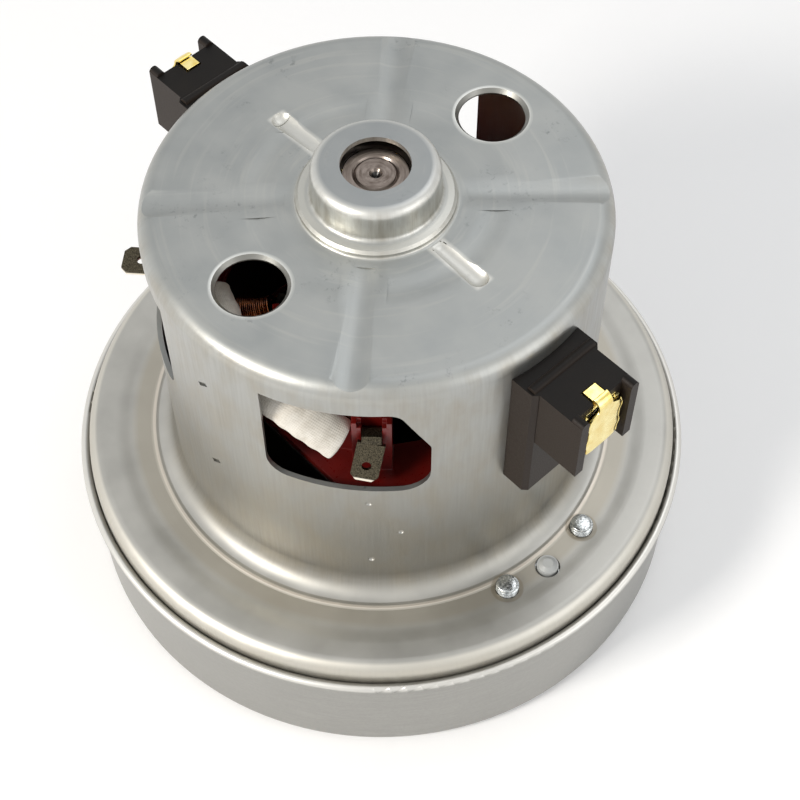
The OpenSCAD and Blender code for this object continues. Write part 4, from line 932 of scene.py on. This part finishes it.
def cut_round_ribs(work):
    """Cut a band of the plate free along X, and then each rib's place into a grid."""
    def in_plate(c):
        across = math.hypot(c.x, c.y)
        return PLATE_LOW < c.z < PLATE_HIGH and PLATE_INNER < across < PLATE_OUTER

    def in_band(c):
        return in_plate(c) and abs(c.y) < RIB_BAND

    def near_ribs(c):
        return in_band(c) and BAND_NEAR + 0.4 < abs(c.x) < BAND_FAR

    cut_grid(work, -RIB_BAND, RIB_BAND, 2 * RIB_BAND, (0, 1, 0), in_plate)
    cut_grid(work, BAND_NEAR, BAND_FAR, BAND_FAR - BAND_NEAR, (1, 0, 0), in_band)
    cut_grid(work, -BAND_FAR, -BAND_NEAR, BAND_FAR - BAND_NEAR, (1, 0, 0), in_band)
    cut_grid(work, -2.4, 2.4, 0.4, (0, 1, 0), near_ribs)
    cut_grid(work, 15.5, 29.0, 0.75, (1, 0, 0), near_ribs)
    cut_grid(work, -29.0, -15.5, 0.75, (1, 0, 0), near_ribs)


def press_ribs(mesh):
    """Set each point of the band to its face's height less the ribs' depth there."""
    points = mesh_points(mesh) / MM
    x, y, z = points.T
    across = np.hypot(x, y)
    moved = (z > PLATE_LOW) & (z < PLATE_HIGH) & (across > PLATE_INNER) \
        & (across < PLATE_OUTER) & (np.abs(y) < RIB_BAND)
    smooth = np.where(z > BETWEEN_FACES, PLATE_TOP, PLATE_TOP - SHEET) - rib_depth(x, y)
    # Between 18 and 26 mm a ring that the tool left is 0.2 deep, and the deeper one stays
    ring = np.abs(across - 22) < 4
    points[moved, 2] = np.where(ring, np.minimum(z, smooth), smooth)[moved]
    mesh.vertices.foreach_set("co", (points * MM).astype(np.float32).ravel())
    mesh.update()
    return int(moved.sum())


print("rib depth in mm at 16, 21 and 26:", rib_depth(np.array([16, 21, 26]), 0).round(2))

# %% [markdown]
# ## Curves of the pressed sheet
# A press leaves no flat bands in a flare or a bead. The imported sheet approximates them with
# short cones, so a copy is merged and shaded smoothly, and its large flat faces are kept
# flat by weighting each normal by its faces' area.

# %% Pressed sheet
def pressed_sheet(node, material, with_ribs):
    """A smooth copy of a sheet piece, with the short ribs pressed in if it has them."""
    mesh, work = merged_copy(node)
    bmesh.ops.dissolve_degenerate(work, edges=work.edges, dist=0.01 * MM)
    if with_ribs:
        cut_round_ribs(work)
    work.to_mesh(mesh)
    work.free()
    if with_ribs:
        print("points pressed:", press_ribs(mesh))
    mesh.name = node + "_pressed"
    mesh.polygons.foreach_set("use_smooth", np.ones(len(mesh.polygons), bool))
    mesh.set_sharp_from_angle(angle=math.radians(33))
    piece = place_copy(mesh, node + "_pressed", node, material)
    even = piece.modifiers.new("flat_faces_stay_flat", "WEIGHTED_NORMAL")
    even.mode, even.weight, even.keep_sharp = "FACE_AREA", 50, True
    return piece


sheets = [pressed_sheet("motor_can", can_steel, True),
    pressed_sheet("fan_casing", fan_steel, False)]
print("sheet faces:", [len(p.data.polygons) for p in sheets])

# %% [markdown]
# ## Brass end clips
# Each brush holder is closed by a stamped brass plate, bent over at the top and curled in
# below, with wavy side edges where its spring ears are cut. It is drawn as a strip: a
# profile runs over the bend and down, and the strip's width swells and narrows along it.

# %% Clips
CLIP_FACE, CLIP_FOOT, CLIP_HEIGHT = 57.72, 79.9, 12.7
BEND_AT, BEND_R = 0.84, 1.6
CURL_AT, CURL_IN = 0.09, 0.6


def clip_half_width(v):
    """3.75 plus two swells, each a squared cosine; narrow below, and a 1.65 tongue above."""
    swell = 0.5 * np.cos(np.pi * np.clip((v - 0.62) / 0.2, -0.5, 0.5)) ** 2 \
        + 0.45 * np.cos(np.pi * np.clip((v - 0.28) / 0.22, -0.5, 0.5)) ** 2
    curl = np.clip((CURL_AT - v) / CURL_AT, 0, 1)
    neck = np.clip((v - 0.72) / 0.12, 0, 1)
    return 3.75 + swell - 1.3 * curl - 2.1 * neck * neck * (3 - 2 * neck)


def clip_grid(side):
    """Plate of the clip: v goes up the face and over a quarter turn of radius BEND_R at the
    top, and u goes across it."""
    v = np.linspace(0, 1, 61)
    over = np.clip((v - BEND_AT) / (1 - BEND_AT), 0, 1) * np.pi / 2
    curl = np.clip((CURL_AT - v) / CURL_AT, 0, 1)
    z = CLIP_FOOT + CLIP_HEIGHT * np.clip(v / BEND_AT, 0, 1) + BEND_R * np.sin(over)
    x = CLIP_FACE - BEND_R * (1 - np.cos(over)) - CURL_IN * curl ** 2
    u = np.linspace(-1, 1, 13)
    y = u[None] * clip_half_width(v)[:, None]
    crown = 0.08 * (1 - u[None] ** 2)
    grid = np.stack([x[:, None] + crown, y, np.broadcast_to(z[:, None], y.shape)], -1)
    return grid * [side, side, 1] * MM


def clip_ear_grid(side, hand):
    """A narrow strip beside the plate, 0.3 away, that follows the same swells."""
    v = np.linspace(0.08, 0.74, 33)
    inner = clip_half_width(v) + 0.3
    u = np.linspace(0, 0.45, 4)
    y = hand * (inner[:, None] + u[None])
    x = CLIP_FACE + 0.03 - 0.3 * (u[None] / 0.45) ** 2 + 0 * y
    z = CLIP_FOOT + CLIP_HEIGHT * v / BEND_AT
    grid = np.stack([x, y, np.broadcast_to(z[:, None], y.shape)], -1)
    return grid * [side, side, 1] * MM


def stamped(name, grid, thick_mm):
    """A sheet with thickness and rounded edges, from a grid."""
    piece = surface(name, grid)
    wall = piece.modifiers.new("sheet", "SOLIDIFY")
    wall.thickness, wall.offset = thick_mm * MM, 0
    edge = piece.modifiers.new("edge_radius", "BEVEL")
    edge.width, edge.segments, edge.limit_method = 0.1 * MM, 2, "ANGLE"
    dress(piece, pressed_brass)
    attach(piece, "frame")
    return piece


for letter, side in (("a", 1), ("b", -1)):
    plate = stamped("brush_clip_plate_" + letter, clip_grid(side), 0.5)
    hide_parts("brush_clip_" + letter)
    for hand, word in ((-1, "left"), (1, "right")):
        stamped(f"brush_clip_ear_{word}_{letter}", clip_ear_grid(side, hand), 0.3)
print("clips: 2 plates, 4 ears")

# %% [markdown]
# ## Screws with threads
# Four screws come up through the flange, with their heads underneath. A thread is a
# radius that rises and falls along a helix: it depends on the height minus the turn.
# Stacked rings would look the same from far off but would not join up into one thread.

# %% Screws
SHANK_R, PITCH, THREAD_DEPTH = 2.4, 0.7, 0.3
HEAD_FACE, SHANK_START, SHANK_END = 17.4, 19.8, 33.05


def cross_recess(x, y):
    """Depth of the cross in the head: 1.2 inside two bars 1.1 wide and 4 long, with soft
    sides."""
    bars = [np.clip((0.62 - np.abs(a)) / 0.14, 0, 1) * np.clip((2.1 - np.abs(b)) / 0.25, 0, 1)
        for a, b in ((x, y), (y, x))]
    return 1.2 * np.maximum(*bars)


def screw_grid():
    """Rings from the head's middle out, over its rim and up the shank to the tip. On the
    shank the radius is SHANK_R less the depth times a triangle wave of z/pitch - t/turn."""
    t = np.linspace(0, 2 * np.pi, 36, endpoint=False)[None]
    r = np.linspace(0.02, 3.2, 18)[:, None] + 0 * t
    face = np.stack([r, HEAD_FACE + cross_recess(r * np.cos(t), r * np.sin(t))], -1)
    rim = np.array([[3.35, 17.5], [3.5, 18], [3.68, 19.5], [3.62, SHANK_START],
        [SHANK_R, SHANK_START]])
    rim = np.broadcast_to(rim[:, None], (len(rim), t.size, 2))
    first = SHANK_START + 0.1
    rings = int((SHANK_END - first) / PITCH * 10)
    z = np.linspace(first, SHANK_END, rings)[:, None] + 0 * t
    tooth = np.abs(2 * ((z / PITCH - t / (2 * np.pi)) % 1) - 1)
    taper = np.clip((z - SHANK_END + 0.45) / 0.45, 0, 1)
    shank = np.stack([SHANK_R - THREAD_DEPTH * tooth - 0.3 * taper ** 2, z], -1)
    a = np.linspace(0.25, 1, 6)[:, None] * np.pi / 2 + 0 * t
    tip = np.stack([2.05 * np.cos(a) + 0.01, 33.0 + 0.38 * np.sin(a)], -1)
    r, z = np.moveaxis(np.concatenate([face, rim, shank, tip]), -1, 0)
    return np.stack([r * np.cos(t), r * np.sin(t), z], -1)


def bridge_screw(index, angle):
    """One screw, set at its place on the flange."""
    turn = math.radians(angle)
    grid = screw_grid() + SCREW_AT * np.array([math.cos(turn), math.sin(turn), 0])
    piece = outward(surface(f"bridge_screw_{index}", grid * MM, close_columns=True, caps=True))
    dress(piece, screw_zinc)
    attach(piece, "frame")
    return piece


screws = [bridge_screw(i + 1, a) for i, a in enumerate(screw_angles)]
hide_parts("bridge_screws")
print("screws:", [s.name for s in screws])

# %% [markdown]
# ## Brush springs
# A spring sits in each brass tube and pushes its brush in. It is a round wire on a helix,
# drawn here at one length on a mesh of its own; the real spring gets shorter as its brush slides
# out.

# %% Springs
COILS, COIL_R, SPRING_WIRE_R, SPRING_GAP = 9, 2.5, 0.34, 0.35


def brush_spring(letter, side):
    """Helix along X: x grows evenly while y and z go round at COIL_R."""
    t = np.linspace(0, COILS, COILS * 28 + 1)
    x = SPRING_START + SPRING_GAP + t / COILS * (SPRING_END - SPRING_START - 2 * SPRING_GAP)
    c, s = np.cos(2 * np.pi * t), np.sin(2 * np.pi * t)
    path = np.stack([side * x, side * COIL_R * c, BRUSH_Z + COIL_R * s], -1)
    across = np.stack([0 * t, side * c, s], -1)
    piece = sweep(f"brush_spring_{letter}_wire", path * MM, across, SPRING_WIRE_R * MM, 10)
    dress(piece, screw_zinc)
    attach(piece, "frame")
    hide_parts("brush_spring_" + letter)
    # 6 mm of brush travel takes the 22.75 mm spring to 0.736 of its length
    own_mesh(piece)
    return piece


springs = [brush_spring("a", 1), brush_spring("b", -1)]
print("springs:", [s.name for s in springs])
